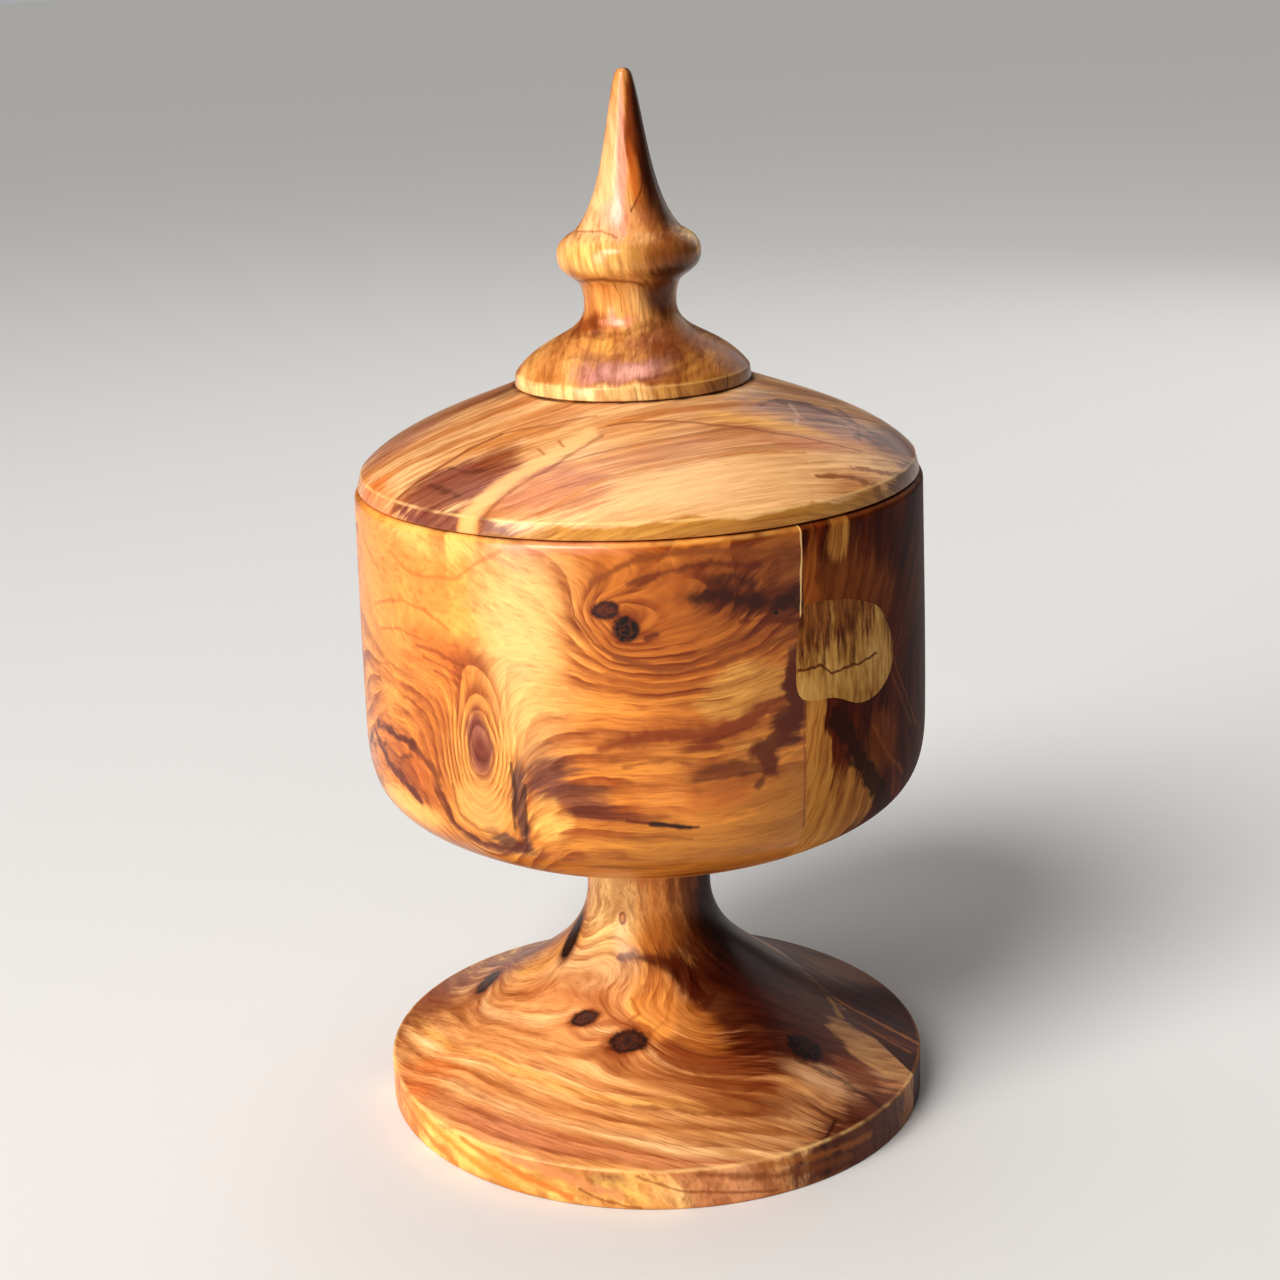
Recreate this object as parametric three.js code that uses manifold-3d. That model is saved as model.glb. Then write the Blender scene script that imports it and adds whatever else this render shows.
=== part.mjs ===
// A turned wooden pedestal box: a round bowl on a flared foot, with a loose domed lid and a spire finial.
// Millimetres, +Z up, front towards -Y. The origin is the centre of the foot's underside.
// Every piece is turned about the Z axis. The bowl and the foot are each glued up from two pieces of wood.

import * as THREE from 'three';
import { mergeVertices } from 'three/addons/utils/BufferGeometryUtils.js';
import Module from 'manifold-3d';

// Foot: a flared disc and its stem, turned from one blank
const FOOT_DIAMETER = 151;
const FOOT_EDGE_HEIGHT = 11.2;
const FLARE_DIAMETER = 59;
const FLARE_HEIGHT = 38;
const NECK_DIAMETER = 34.4;
const NECK_HEIGHT = 60.5;
const STEM_HEAD_DIAMETER = 41;
const STEM_HEIGHT = 77.7;
const STEM_TENON_DIAMETER = 22;
const STEM_TENON_LENGTH = 6;
const SIDE_BOARD_WIDTH = 34.8;

// Bowl: nearly straight wall, rounded bottom corner, shallow underside
const BOWL_DIAMETER = 152.4;
const BOWL_HEIGHT = 99.6;
const BOWL_WALL = 7.4;
const BOWL_FLOOR = 10;
const BOWL_INNER_CORNER = 20;
const BOWL_CORNER_HEIGHT = 34;
const BOWL_CORNER_REACH = 14.2;
const UNDERSIDE_RISE = 9;
const RIM_DRAW_IN = 0.9;
const RIM_ROUNDING = 2;
const BOWL_JOINT_OFFSET = -8.1;

// Lid: a rim band, a dome, and a spigot that drops into the bowl's mouth
const LID_SET_IN = 1;
const LID_BAND_HEIGHT = 4.2;
const LID_BAND_TAPER = 0.9;
const DOME_RISE = 20.3;
const SPIGOT_LENGTH = 6;
const SPIGOT_WIDTH = 9.5;
const LID_HOLLOW_HEIGHT = 12.5;

// Finial: base disc, ogee shoulder, cove, bead and spire
const FINIAL_BASE_DIAMETER = 62.2;
const FINIAL_BAND_HEIGHT = 3.4;
const SHOULDER_HEIGHT = 17.1;
const COVE_DIAMETER = 24.1;
const COVE_HEIGHT = 5.7;
const COVE_TOP_DIAMETER = 26.5;
const BEAD_DIAMETER = 37.5;
const BEAD_LOWER_HEIGHT = 7.1;
const BEAD_UPPER_HEIGHT = 6.2;
const SPIRE_FOOT_DIAMETER = 27.6;
const SPIRE_HEIGHT = 37.8;
const TIP_RADIUS = 2.5;
const FINIAL_TENON_DIAMETER = 13;
const FINIAL_TENON_LENGTH = 8;

// Filler: a pale patch let into the bowl's wall, seen to the right of the front
const FILLER_AZIMUTH = 39;
const FILLER_HEIGHT = 66;
const FILLER_DEPTH = 4.2;
const FILLER_OUTLINE = [
  [-18.2, -1.3], [-16.2, 12.3], [-9.5, 13.9], [0.9, 12.1], [11, 7.5], [16.7, -2.3],
  [16, -9.5], [10.2, -14], [2.3, -14.9], [-6.6, -11.4], [-16.6, -9.6],
];

// Shapes of the turned curves: the direction of each end in degrees, and how far it pulls on the curve
const FOOT_TOP_CURVE = { leaves: 159, arrives: 140, startPull: 0.36, endPull: 0.32 };
const FLARE_CURVE = { leaves: 140, arrives: 90, startPull: 0.39, endPull: 0.35 };
const STEM_HEAD_CURVE = { leaves: 90, arrives: 62, startPull: 0.35, endPull: 0.35 };
const UNDERSIDE_CURVE = { leaves: 2, arrives: 29, startPull: 0.35, endPull: 0.35 };
const BOWL_CORNER_CURVE = { leaves: 29, arrives: 90, startPull: 0.42, endPull: 0.53 };
const WALL_CURVE = { leaves: 90, arrives: 91, startPull: 0.35, endPull: 0.35 };
const HOLLOW_CURVE = { leaves: 0, arrives: -62, startPull: 0.35, endPull: 0.35 };
const DOME_CURVE = { leaves: 132, arrives: 155, startPull: 0.28, endPull: 0.23 };
const SHOULDER_CURVE = { leaves: 127, arrives: 90, startPull: 0.48, endPull: 0.34 };
const COVE_CURVE = { leaves: 90, arrives: 63, startPull: 0.35, endPull: 0.35 };
const BEAD_LOWER_CURVE = { leaves: 44, arrives: 90, startPull: 0.42, endPull: 0.48 };
const BEAD_UPPER_CURVE = { leaves: 90, arrives: 148, startPull: 0.5, endPull: 0.24 };
const SPIRE_CURVE = { leaves: 133, arrives: 104, startPull: 0.28, endPull: 0.3 };
const TIP_CURVE = { leaves: 104, arrives: 180, startPull: 0.4, endPull: 0.5 };

// Fits and small details
const GLUE_GAP = 0.3;
const SEAT_GAP = 0.3;
const SPIGOT_CLEARANCE = 0.7;
const ARRIS = 0.6;
const GLUE_LINE_AZIMUTH = 33.2;
const TURNED_SIDES = 64;
const FINIAL_SIDES = 40;
const DEGREES_PER_STEP = 10;

// Sizes that follow from the ones above
const footRadius = FOOT_DIAMETER / 2;
const bowlRadius = BOWL_DIAMETER / 2;
const rimRadius = bowlRadius - RIM_DRAW_IN;
const mouthRadius = rimRadius - BOWL_WALL;
const lidRadius = rimRadius - LID_SET_IN;
const lidTopRadius = lidRadius - LID_BAND_TAPER;
const lidCrownHeight = LID_BAND_HEIGHT + DOME_RISE;
const spigotRadius = mouthRadius - SPIGOT_CLEARANCE;
const finialBaseRadius = FINIAL_BASE_DIAMETER / 2;
const bowlBottom = STEM_HEIGHT + GLUE_GAP;
const lidBottom = bowlBottom + BOWL_HEIGHT + SEAT_GAP;
const halfGlueGap = GLUE_GAP / 2;

const wasm = await Module();
wasm.setup();

// Outlines run from the axis, outwards round the piece, and back to the axis, in radius and height.

/** The unit direction at an angle in degrees: 0 points away from the axis and 90 points up. */
function direction(degrees) {
  const angle = THREE.MathUtils.degToRad(degrees);
  return new THREE.Vector2(Math.cos(angle), Math.sin(angle));
}

/** Adds a smooth curve of a given shape to an outline, as far as a radius and height. */
function sweepTo(outline, radius, height, { leaves, arrives, startPull, endPull }) {
  const start = outline.currentPoint.clone();
  const end = new THREE.Vector2(radius, height);
  const reach = start.distanceTo(end);
  const first = start.clone().addScaledVector(direction(leaves), reach * startPull);
  const second = end.clone().addScaledVector(direction(arrives), -reach * endPull);
  outline.bezierCurveTo(first.x, first.y, second.x, second.y, end.x, end.y);
}

/** How many straight steps a curve needs: one for each few degrees that it turns through. */
function stepsFor(curve) {
  if (curve.isLineCurve) return 1;
  const samples = 24;
  let turned = 0;
  for (let i = 0; i < samples; i += 1) {
    turned += curve.getTangent(i / samples).angleTo(curve.getTangent((i + 1) / samples));
  }
  return Math.max(2, Math.ceil(THREE.MathUtils.radToDeg(turned) / DEGREES_PER_STEP));
}

/** The points of an outline, close together only where it turns. */
function outlinePoints(outline) {
  const points = [outline.curves[0].getPoint(0)];
  for (const curve of outline.curves) points.push(...curve.getPoints(stepsFor(curve)).slice(1));
  return points;
}

/** Merges a geometry's vertices and drops the triangles that have no area, so that it is one closed skin. */
function closedSkin(geometry) {
  const bare = geometry.clone();
  bare.deleteAttribute('normal');
  bare.deleteAttribute('uv');
  const merged = mergeVertices(bare, 1e-4);
  const corners = merged.index.array;
  const kept = [];
  for (let i = 0; i < corners.length; i += 3) {
    const [a, b, c] = corners.slice(i, i + 3);
    if (a !== b && b !== c && c !== a) kept.push(a, b, c);
  }
  merged.setIndex(kept);
  return merged;
}

/** The solid inside a closed geometry. */
function solidFrom(geometry) {
  const skin = closedSkin(geometry);
  const vertProperties = new Float32Array(skin.attributes.position.array);
  const triVerts = new Uint32Array(skin.index.array);
  return new wasm.Manifold(new wasm.Mesh({ numProp: 3, vertProperties, triVerts }));
}

/** The three.js geometry of a solid. */
function geometryFrom(solid) {
  const { vertProperties, triVerts } = solid.getMesh();
  const geometry = new THREE.BufferGeometry();
  geometry.setAttribute('position', new THREE.BufferAttribute(vertProperties, 3));
  geometry.setIndex(new THREE.BufferAttribute(triVerts, 1));
  geometry.computeVertexNormals();
  return geometry;
}

/** The solid that an outline leaves when it is turned about the Z axis. */
function turned(outline, sides = TURNED_SIDES) {
  const geometry = new THREE.LatheGeometry(outlinePoints(outline), sides);
  geometry.rotateX(Math.PI / 2);
  return solidFrom(geometry);
}

/** A block of wood on one side of an upright glue line, which lies a given distance from the axis. */
function halfSpace(offset, side) {
  const size = 4 * Math.max(footRadius, bowlRadius);
  const geometry = new THREE.BoxGeometry(size, size, size);
  geometry.translate(side * (size / 2 + halfGlueGap) + offset, 0, 0);
  geometry.rotateZ(THREE.MathUtils.degToRad(GLUE_LINE_AZIMUTH));
  return solidFrom(geometry);
}

function wood(color, roughness) {
  return new THREE.MeshStandardMaterial({ color, roughness, metalness: 0 });
}

function namedMesh(name, solid, material) {
  const mesh = new THREE.Mesh(geometryFrom(solid), material);
  mesh.name = name;
  return mesh;
}

// Foot

/** Edge, flared top and stem, up to the tenon that is glued into the bowl. */
function footOutline() {
  const neckRadius = NECK_DIAMETER / 2;
  const tenonRadius = STEM_TENON_DIAMETER / 2;
  const outline = new THREE.Path();
  outline.moveTo(0, 0);
  outline.lineTo(footRadius - ARRIS, 0);
  outline.lineTo(footRadius, ARRIS);
  outline.lineTo(footRadius, FOOT_EDGE_HEIGHT - ARRIS);
  outline.lineTo(footRadius - ARRIS, FOOT_EDGE_HEIGHT);
  sweepTo(outline, FLARE_DIAMETER / 2, FLARE_HEIGHT, FOOT_TOP_CURVE);
  sweepTo(outline, neckRadius, NECK_HEIGHT, FLARE_CURVE);
  sweepTo(outline, STEM_HEAD_DIAMETER / 2, STEM_HEIGHT, STEM_HEAD_CURVE);
  outline.lineTo(tenonRadius, STEM_HEIGHT);
  outline.lineTo(tenonRadius, STEM_HEIGHT + STEM_TENON_LENGTH);
  outline.lineTo(0, STEM_HEIGHT + STEM_TENON_LENGTH);
  return outline;
}

function makeFoot() {
  const blank = turned(footOutline());
  const glueLine = footRadius - SIDE_BOARD_WIDTH;
  const foot = new THREE.Group();
  foot.add(namedMesh('foot_main', blank.intersect(halfSpace(glueLine, -1)), wood(0xc67a34, 0.42)));
  foot.add(namedMesh('foot_side_board', blank.intersect(halfSpace(glueLine, 1)), wood(0x8a4a24, 0.42)));
  return foot;
}

// Bowl

/** Underside, corner, wall and rim, then down the inside to the floor and the recess for the stem. */
function bowlOutline() {
  const seatRadius = STEM_HEAD_DIAMETER / 2 + ARRIS;
  const recessRadius = STEM_TENON_DIAMETER / 2 + GLUE_GAP;
  const recessTop = STEM_TENON_LENGTH + GLUE_GAP;
  const undersideRadius = bowlRadius - BOWL_CORNER_REACH;
  const outline = new THREE.Path();
  outline.moveTo(0, recessTop);
  outline.lineTo(recessRadius, recessTop);
  outline.lineTo(recessRadius, 0);
  outline.lineTo(seatRadius, 0);
  sweepTo(outline, undersideRadius, UNDERSIDE_RISE, UNDERSIDE_CURVE);
  sweepTo(outline, bowlRadius, BOWL_CORNER_HEIGHT, BOWL_CORNER_CURVE);
  sweepTo(outline, rimRadius, BOWL_HEIGHT - RIM_ROUNDING, WALL_CURVE);
  outline.absarc(rimRadius - RIM_ROUNDING, BOWL_HEIGHT - RIM_ROUNDING, RIM_ROUNDING, 0, Math.PI / 2);
  outline.lineTo(mouthRadius, BOWL_HEIGHT);
  outline.lineTo(mouthRadius, BOWL_FLOOR + BOWL_INNER_CORNER);
  const cornerCentre = new THREE.Vector2(mouthRadius - BOWL_INNER_CORNER, BOWL_FLOOR + BOWL_INNER_CORNER);
  outline.absarc(cornerCentre.x, cornerCentre.y, BOWL_INNER_CORNER, 0, -Math.PI / 2, true);
  outline.lineTo(0, BOWL_FLOOR);
  return outline;
}

/** The filler's prism, cut straight in from the front of the wall and grown on every side but its face. */
function fillerPrism(growth) {
  const corners = FILLER_OUTLINE.map(([across, up]) => {
    const corner = new THREE.Vector2(across, up);
    return corner.setLength(corner.length() + growth);
  });
  const spline = new THREE.SplineCurve([...corners, corners[0]]);
  const shape = new THREE.Shape(spline.getPoints(2 * corners.length).slice(0, -1));
  const proud = 5;
  const depth = FILLER_DEPTH + growth + proud;
  const geometry = new THREE.ExtrudeGeometry(shape, { depth, bevelEnabled: false });
  geometry.rotateX(Math.PI / 2);
  geometry.translate(0, -(bowlRadius - FILLER_DEPTH - growth), FILLER_HEIGHT);
  geometry.rotateZ(THREE.MathUtils.degToRad(FILLER_AZIMUTH));
  return solidFrom(geometry);
}

function makeBowl() {
  const blank = turned(bowlOutline());
  const pocketed = blank.subtract(fillerPrism(GLUE_GAP));
  const bowl = new THREE.Group();
  const front = pocketed.intersect(halfSpace(BOWL_JOINT_OFFSET, -1));
  const back = pocketed.intersect(halfSpace(BOWL_JOINT_OFFSET, 1));
  bowl.add(namedMesh('bowl_front_block', front, wood(0xcf8238, 0.38)));
  bowl.add(namedMesh('bowl_back_block', back, wood(0x7d3f1e, 0.38)));
  bowl.add(namedMesh('bowl_filler', blank.intersect(fillerPrism(0)), wood(0xc59a58, 0.6)));
  bowl.position.z = bowlBottom;
  return bowl;
}

// Lid

/** Hollow and spigot, rim band, dome, flat seat for the finial and the recess for its tenon. */
function lidOutline() {
  const ringRadius = spigotRadius - SPIGOT_WIDTH;
  const recessRadius = FINIAL_TENON_DIAMETER / 2 + GLUE_GAP;
  const recessBottom = lidCrownHeight - FINIAL_TENON_LENGTH - GLUE_GAP;
  const outline = new THREE.Path();
  outline.moveTo(0, LID_HOLLOW_HEIGHT);
  outline.lineTo(recessRadius, LID_HOLLOW_HEIGHT);
  sweepTo(outline, ringRadius, 0, HOLLOW_CURVE);
  outline.lineTo(ringRadius, ARRIS - SPIGOT_LENGTH);
  outline.lineTo(ringRadius + ARRIS, -SPIGOT_LENGTH);
  outline.lineTo(spigotRadius - ARRIS, -SPIGOT_LENGTH);
  outline.lineTo(spigotRadius, ARRIS - SPIGOT_LENGTH);
  outline.lineTo(spigotRadius, 0);
  outline.lineTo(lidRadius, 0);
  outline.lineTo(lidTopRadius, LID_BAND_HEIGHT);
  sweepTo(outline, finialBaseRadius + ARRIS, lidCrownHeight, DOME_CURVE);
  outline.lineTo(recessRadius, lidCrownHeight);
  outline.lineTo(recessRadius, recessBottom);
  outline.lineTo(0, recessBottom);
  return outline;
}

/** Tenon, base disc, ogee shoulder, cove, bead and spire. */
function finialOutline() {
  const tenonRadius = FINIAL_TENON_DIAMETER / 2;
  const coveBottom = FINIAL_BAND_HEIGHT + SHOULDER_HEIGHT;
  const beadBottom = coveBottom + COVE_HEIGHT;
  const beadMiddle = beadBottom + BEAD_LOWER_HEIGHT;
  const spireBottom = beadMiddle + BEAD_UPPER_HEIGHT;
  const spireTop = spireBottom + SPIRE_HEIGHT;
  const outline = new THREE.Path();
  outline.moveTo(0, -FINIAL_TENON_LENGTH);
  outline.lineTo(tenonRadius, -FINIAL_TENON_LENGTH);
  outline.lineTo(tenonRadius, 0);
  outline.lineTo(finialBaseRadius, 0);
  outline.lineTo(finialBaseRadius - ARRIS / 2, FINIAL_BAND_HEIGHT);
  sweepTo(outline, COVE_DIAMETER / 2, coveBottom, SHOULDER_CURVE);
  sweepTo(outline, COVE_TOP_DIAMETER / 2, beadBottom, COVE_CURVE);
  sweepTo(outline, BEAD_DIAMETER / 2, beadMiddle, BEAD_LOWER_CURVE);
  sweepTo(outline, SPIRE_FOOT_DIAMETER / 2, spireBottom, BEAD_UPPER_CURVE);
  sweepTo(outline, TIP_RADIUS, spireTop, SPIRE_CURVE);
  sweepTo(outline, 0, spireTop + TIP_RADIUS, TIP_CURVE);
  return outline;
}

function makeLid() {
  const lid = new THREE.Group();
  lid.add(namedMesh('lid_board', turned(lidOutline()), wood(0xd39a55, 0.4)));
  const finial = namedMesh('finial', turned(finialOutline(), FINIAL_SIDES), wood(0xcb7f38, 0.36));
  finial.position.z = lidCrownHeight + GLUE_GAP;
  lid.add(finial);
  lid.position.z = lidBottom;
  return lid;
}

const box = new THREE.Group();
box.add(makeFoot(), makeBowl(), makeLid());

export default box;
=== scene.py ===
"""A turned wooden pedestal box with a domed lid and a spire finial, on a pale studio floor.

Sizes are in millimetres in the classes and in metres in Blender. +Z is up and the front faces -Y.
"""

from __future__ import annotations

import logging
import math
from dataclasses import dataclass, replace
from enum import Enum
from typing import Any, Callable, Iterable, Optional, Sequence, TypeVar, Union

import bmesh
import bpy
from mathutils import Matrix, Vector

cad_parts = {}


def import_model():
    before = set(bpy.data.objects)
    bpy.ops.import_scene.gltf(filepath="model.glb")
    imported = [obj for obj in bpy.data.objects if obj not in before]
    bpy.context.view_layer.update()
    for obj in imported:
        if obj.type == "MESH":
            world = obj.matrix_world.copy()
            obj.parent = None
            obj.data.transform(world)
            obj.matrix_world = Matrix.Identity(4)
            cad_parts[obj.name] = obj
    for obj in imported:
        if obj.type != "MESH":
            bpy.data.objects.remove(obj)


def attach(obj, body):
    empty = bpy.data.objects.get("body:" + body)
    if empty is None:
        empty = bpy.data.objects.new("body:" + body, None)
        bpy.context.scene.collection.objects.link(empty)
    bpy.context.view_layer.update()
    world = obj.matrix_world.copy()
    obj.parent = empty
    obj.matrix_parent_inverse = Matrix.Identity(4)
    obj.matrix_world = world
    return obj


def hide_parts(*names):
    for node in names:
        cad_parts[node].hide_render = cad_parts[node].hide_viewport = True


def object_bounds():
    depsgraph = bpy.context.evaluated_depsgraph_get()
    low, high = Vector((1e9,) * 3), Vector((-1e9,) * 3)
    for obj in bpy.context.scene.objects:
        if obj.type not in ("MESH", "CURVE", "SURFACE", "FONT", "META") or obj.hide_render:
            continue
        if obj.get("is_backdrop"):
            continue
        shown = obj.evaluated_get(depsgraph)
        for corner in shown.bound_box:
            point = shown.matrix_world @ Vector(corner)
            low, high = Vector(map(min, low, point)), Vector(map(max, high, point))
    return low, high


LOG = logging.getLogger("pedestal_box")

MM = 0.001
TURNED_STEPS = 192
CURVE_STEPS = 14
SMOOTH_ANGLE = math.radians(28)
FARTHEST = 3

# A colour is written as six hexadecimal digits. A tint is three plain factors.
Colour = str
Tint = tuple[float, float, float]
Point = tuple[float, float, float]
# A row of a table of marks: the numbers or corners that place the mark, and then its look.
Row = tuple[Any, ...]
Socket = bpy.types.NodeSocket
Value = Union[float, str, Sequence[float], Socket]


class Side(Enum):
    """The two sides of an upright glue line."""

    NEAR = -1
    FAR = 1


# ---------------------------------------------------------------- turned shapes


@dataclass(frozen=True)
class Bend:
    """The shape of a turned curve: the direction of each end in degrees, and how far it pulls."""

    leaves: float
    arrives: float
    start_pull: float = 0.35
    end_pull: float = 0.35


class Outline:
    """The line that a piece is turned from, in radius and height, from the axis round to the axis."""

    def __init__(self, radius: float, height: float) -> None:
        """Starts the line.

        Args:
            radius: Distance from the turning axis.
            height: Height of the first point.
        """
        self.points: list[Vector] = [Vector((radius, 0, height))]

    def line(self, radius: float, height: float) -> Outline:
        """Adds a straight stretch to a radius and a height, and returns the outline for the next call."""
        self.points.append(Vector((radius, 0, height)))
        return self

    def curve(self, radius: float, height: float, bend: Bend, steps: int = CURVE_STEPS) -> Outline:
        """Adds a smooth curve.

        Args:
            radius: Distance of its end from the axis.
            height: Height of its end.
            bend: The curve's shape.
            steps: Straight steps along it.

        Returns:
            The outline.
        """
        start = self.points[-1].copy()
        end = Vector((radius, 0, height))
        reach = (end - start).length
        first = start + heading(bend.leaves) * reach * bend.start_pull
        second = end - heading(bend.arrives) * reach * bend.end_pull
        for step in range(1, steps + 1):
            t = step / steps
            s = 1 - t
            point = start * s**3 + first * 3 * s * s * t + second * 3 * s * t * t + end * t**3
            self.points.append(point)
        return self

    def round(self, radius: float, height: float, size: float, start: float, end: float, steps: int = 6) -> Outline:
        """Adds an arc.

        Args:
            radius: Distance of its centre from the axis.
            height: Height of its centre.
            size: The arc's own radius.
            start: Angle at which it starts, in degrees, 0 pointing away from the axis.
            end: Angle at which it ends.
            steps: Straight steps along it.

        Returns:
            The outline.
        """
        centre = Vector((radius, 0, height))
        for step in range(steps + 1):
            point = centre + heading(start + (end - start) * step / steps) * size
            if (point - self.points[-1]).length > 1e-6:
                self.points.append(point)
        return self

    def spun(self) -> bmesh.types.BMesh:
        """Turns the line about the Z axis into a closed mesh in millimetres."""
        mesh = bmesh.new()
        corners = [mesh.verts.new(point) for point in self.points]
        edges = [mesh.edges.new(pair) for pair in zip(corners, corners[1:])]
        bmesh.ops.spin(
            mesh, geom=corners + edges, cent=(0, 0, 0), axis=(0, 0, 1), dvec=(0, 0, 0),
            angle=math.tau, steps=TURNED_STEPS, use_merge=True, use_duplicate=False,
        )
        bmesh.ops.remove_doubles(mesh, verts=mesh.verts, dist=1e-4)
        bmesh.ops.recalc_face_normals(mesh, faces=mesh.faces)
        return mesh


def heading(degrees: float) -> Vector:
    """The unit direction at an angle in the outline's plane."""
    return Vector((math.cos(math.radians(degrees)), 0, math.sin(math.radians(degrees))))


@dataclass(frozen=True)
class GlueLine:
    """An upright glue line: where it is, and half the gap that is left along it."""

    offset: float
    half_gap: float
    azimuth: float = 33.2

    def keep(self, mesh: bmesh.types.BMesh, side: Side) -> bmesh.types.BMesh:
        """Cuts a mesh along the line, keeps one side and closes the cut.

        Args:
            mesh: The turned blank, changed in place.
            side: The side that stays.

        Returns:
            The mesh.
        """
        across = Vector((math.cos(math.radians(self.azimuth)), math.sin(math.radians(self.azimuth)), 0))
        cut = bmesh.ops.bisect_plane(
            mesh, geom=mesh.verts[:] + mesh.edges[:] + mesh.faces[:], dist=1e-5, clear_outer=True,
            plane_co=across * (self.offset + side.value * self.half_gap), plane_no=across * -side.value,
        )
        rim = [item for item in cut["geom_cut"] if isinstance(item, bmesh.types.BMEdge)]
        bmesh.ops.triangle_fill(mesh, use_beauty=True, use_dissolve=False, edges=rim)
        bmesh.ops.recalc_face_normals(mesh, faces=mesh.faces)
        return mesh


def finished(name: str, mesh: bmesh.types.BMesh) -> bpy.types.Object:
    """Makes an object of a mesh in millimetres.

    Args:
        name: The object's name.
        mesh: The mesh, which is freed.

    Returns:
        The object, at the origin, with its place in its mesh.
    """
    bmesh.ops.scale(mesh, vec=(MM, MM, MM), verts=mesh.verts)
    data = bpy.data.meshes.new(name)
    mesh.to_mesh(data)
    mesh.free()
    piece = bpy.data.objects.new(name, data)
    bpy.context.scene.collection.objects.link(piece)
    return piece


def smooth(piece: bpy.types.Object) -> None:
    """Shades a piece smoothly, apart from its arrises."""
    piece.data.polygons.foreach_set("use_smooth", [True] * len(piece.data.polygons))
    piece.data.set_sharp_from_angle(angle=SMOOTH_ANGLE)


def combined(piece: bpy.types.Object, cutter: bpy.types.Object, operation: str) -> None:
    """Cuts one closed mesh with another.

    Args:
        piece: The piece whose mesh is replaced.
        cutter: The cutting shape.
        operation: The Boolean modifier's operation.
    """
    tool = piece.modifiers.new("cut", "BOOLEAN")
    tool.operation = operation
    tool.solver = "EXACT"
    tool.object = cutter
    bpy.context.view_layer.update()
    shown = piece.evaluated_get(bpy.context.evaluated_depsgraph_get())
    data = bpy.data.meshes.new_from_object(shown)
    piece.modifiers.clear()
    piece.data = data


# ---------------------------------------------------------------- places in the wood


class Layout(Enum):
    """How the places in a piece of wood are given."""

    SOLID = "x, y and z"
    PLAN = "x and y, at every height"
    UNROLLED = "along the wall and up it, through its whole thickness"


@dataclass(frozen=True)
class Place:
    """An ellipsoid in a piece, in millimetres and degrees."""

    centre: Point
    half: Point
    turn: Point = (0, 0, 0)
    layout: Layout = Layout.SOLID

    def grown(self, factor: float) -> Place:
        """The same place, a number of times as large."""
        return replace(self, half=tuple(factor * size for size in self.half))


@dataclass(frozen=True)
class Route:
    """A line of straight stretches in a piece, in millimetres."""

    points: tuple[Point, ...]
    layout: Layout = Layout.SOLID


@dataclass(frozen=True)
class Wall:
    """A turned wall laid out flat: X runs along it from the front towards the right, and Z up it."""

    per_degree: float

    def spot(self, azimuth: float, height: float, across: float, up: float, lean: float = 0) -> Place:
        """An ellipse on the wall.

        Args:
            azimuth: Degrees to the right of the front.
            height: Height above the ground.
            across: Half its width, in degrees.
            up: Half its height.
            lean: How far its right end is raised, in degrees.

        Returns:
            The place.
        """
        centre = (azimuth * self.per_degree, 0, height)
        return Place(centre, (across * self.per_degree, 1, up), (0, -lean, 0), Layout.UNROLLED)

    def route(self, *corners: tuple[float, float]) -> Route:
        """A line on the wall through corners given by azimuth and height."""
        return Route(tuple((az * self.per_degree, 0, z) for az, z in corners), Layout.UNROLLED)

    def unrolled(self, graph: Graph, solid: Socket) -> tuple[Socket, Socket, Socket]:
        """How far along the wall a shaded point is, with its own y and its height."""
        x, y, z = graph.parted(solid)
        angle = graph.math("ARCTAN2", x, graph.times(y, -1))
        return graph.times(angle, math.degrees(self.per_degree)), y, z


def in_plan(x: float, y: float, along: float, across: float, turn: float = 0,
            height: float = 0, depth: float = 400) -> Place:
    """An ellipse seen from above.

    Args:
        x: Its centre to the right.
        y: Its centre towards the back.
        along: Half its length.
        across: Half its width.
        turn: Direction of its length, in degrees from +X.
        height: Height of its centre.
        depth: Half its height.

    Returns:
        The place.
    """
    return Place((x, y, height), (along, across, depth), (0, 0, turn))


def plan_route(*corners: tuple[float, float]) -> Route:
    """A line seen from above, through corners given by x and y."""
    return Route(tuple((x, y, 0) for x, y in corners), Layout.PLAN)


@dataclass(frozen=True)
class Hill:
    """A place where the growth rings bulge, so that they close round it."""

    place: Place
    rise: float


@dataclass(frozen=True)
class Patch:
    """A stretch of another colour, with an edge that frays along the fibres: mostly wood of another colour, and in
    some places a painted highlight or painted shade.
    """

    place: Place
    colour: Colour
    strength: float = 0.8
    softness: float = 0.4
    ragged: float = 0.5


@dataclass(frozen=True)
class Streak:
    """A drawn-out mark along a route: a mineral line, a crack or one bold growth ring."""

    route: Route
    width: float
    colour: Colour
    strength: float = 0.85
    softness: float = 0.6
    ragged: float = 0.6


@dataclass(frozen=True)
class Knot:
    """The cut end of a branch, with its bark ring and its cracks."""

    place: Place
    core: Colour
    halo: Colour
    bulge: float = 5
    spread: float = 1.9

    def hill(self) -> Hill:
        """How the rings bulge round the knot."""
        return Hill(self.place.grown(2.2), self.bulge)


@dataclass(frozen=True)
class PaintedEdgeShading:
    """A turned edge with a painted highlight, or with painted shade where it meets another part or the floor."""

    radius: float
    height: float
    width: float
    colour: Colour
    strength: float = 0.6


@dataclass(frozen=True)
class Rings:
    """How the growth rings lie: rising along a slope, or round an axis that runs through the pith.

    The slope's length is how many millimetres of growth there are in one millimetre of wood along it.
    """

    slope: Point
    spacing: float
    pith: Optional[Point] = None
    wander: float = 7
    ripple: float = 1.6


# ---------------------------------------------------------------- shader graph


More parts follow.
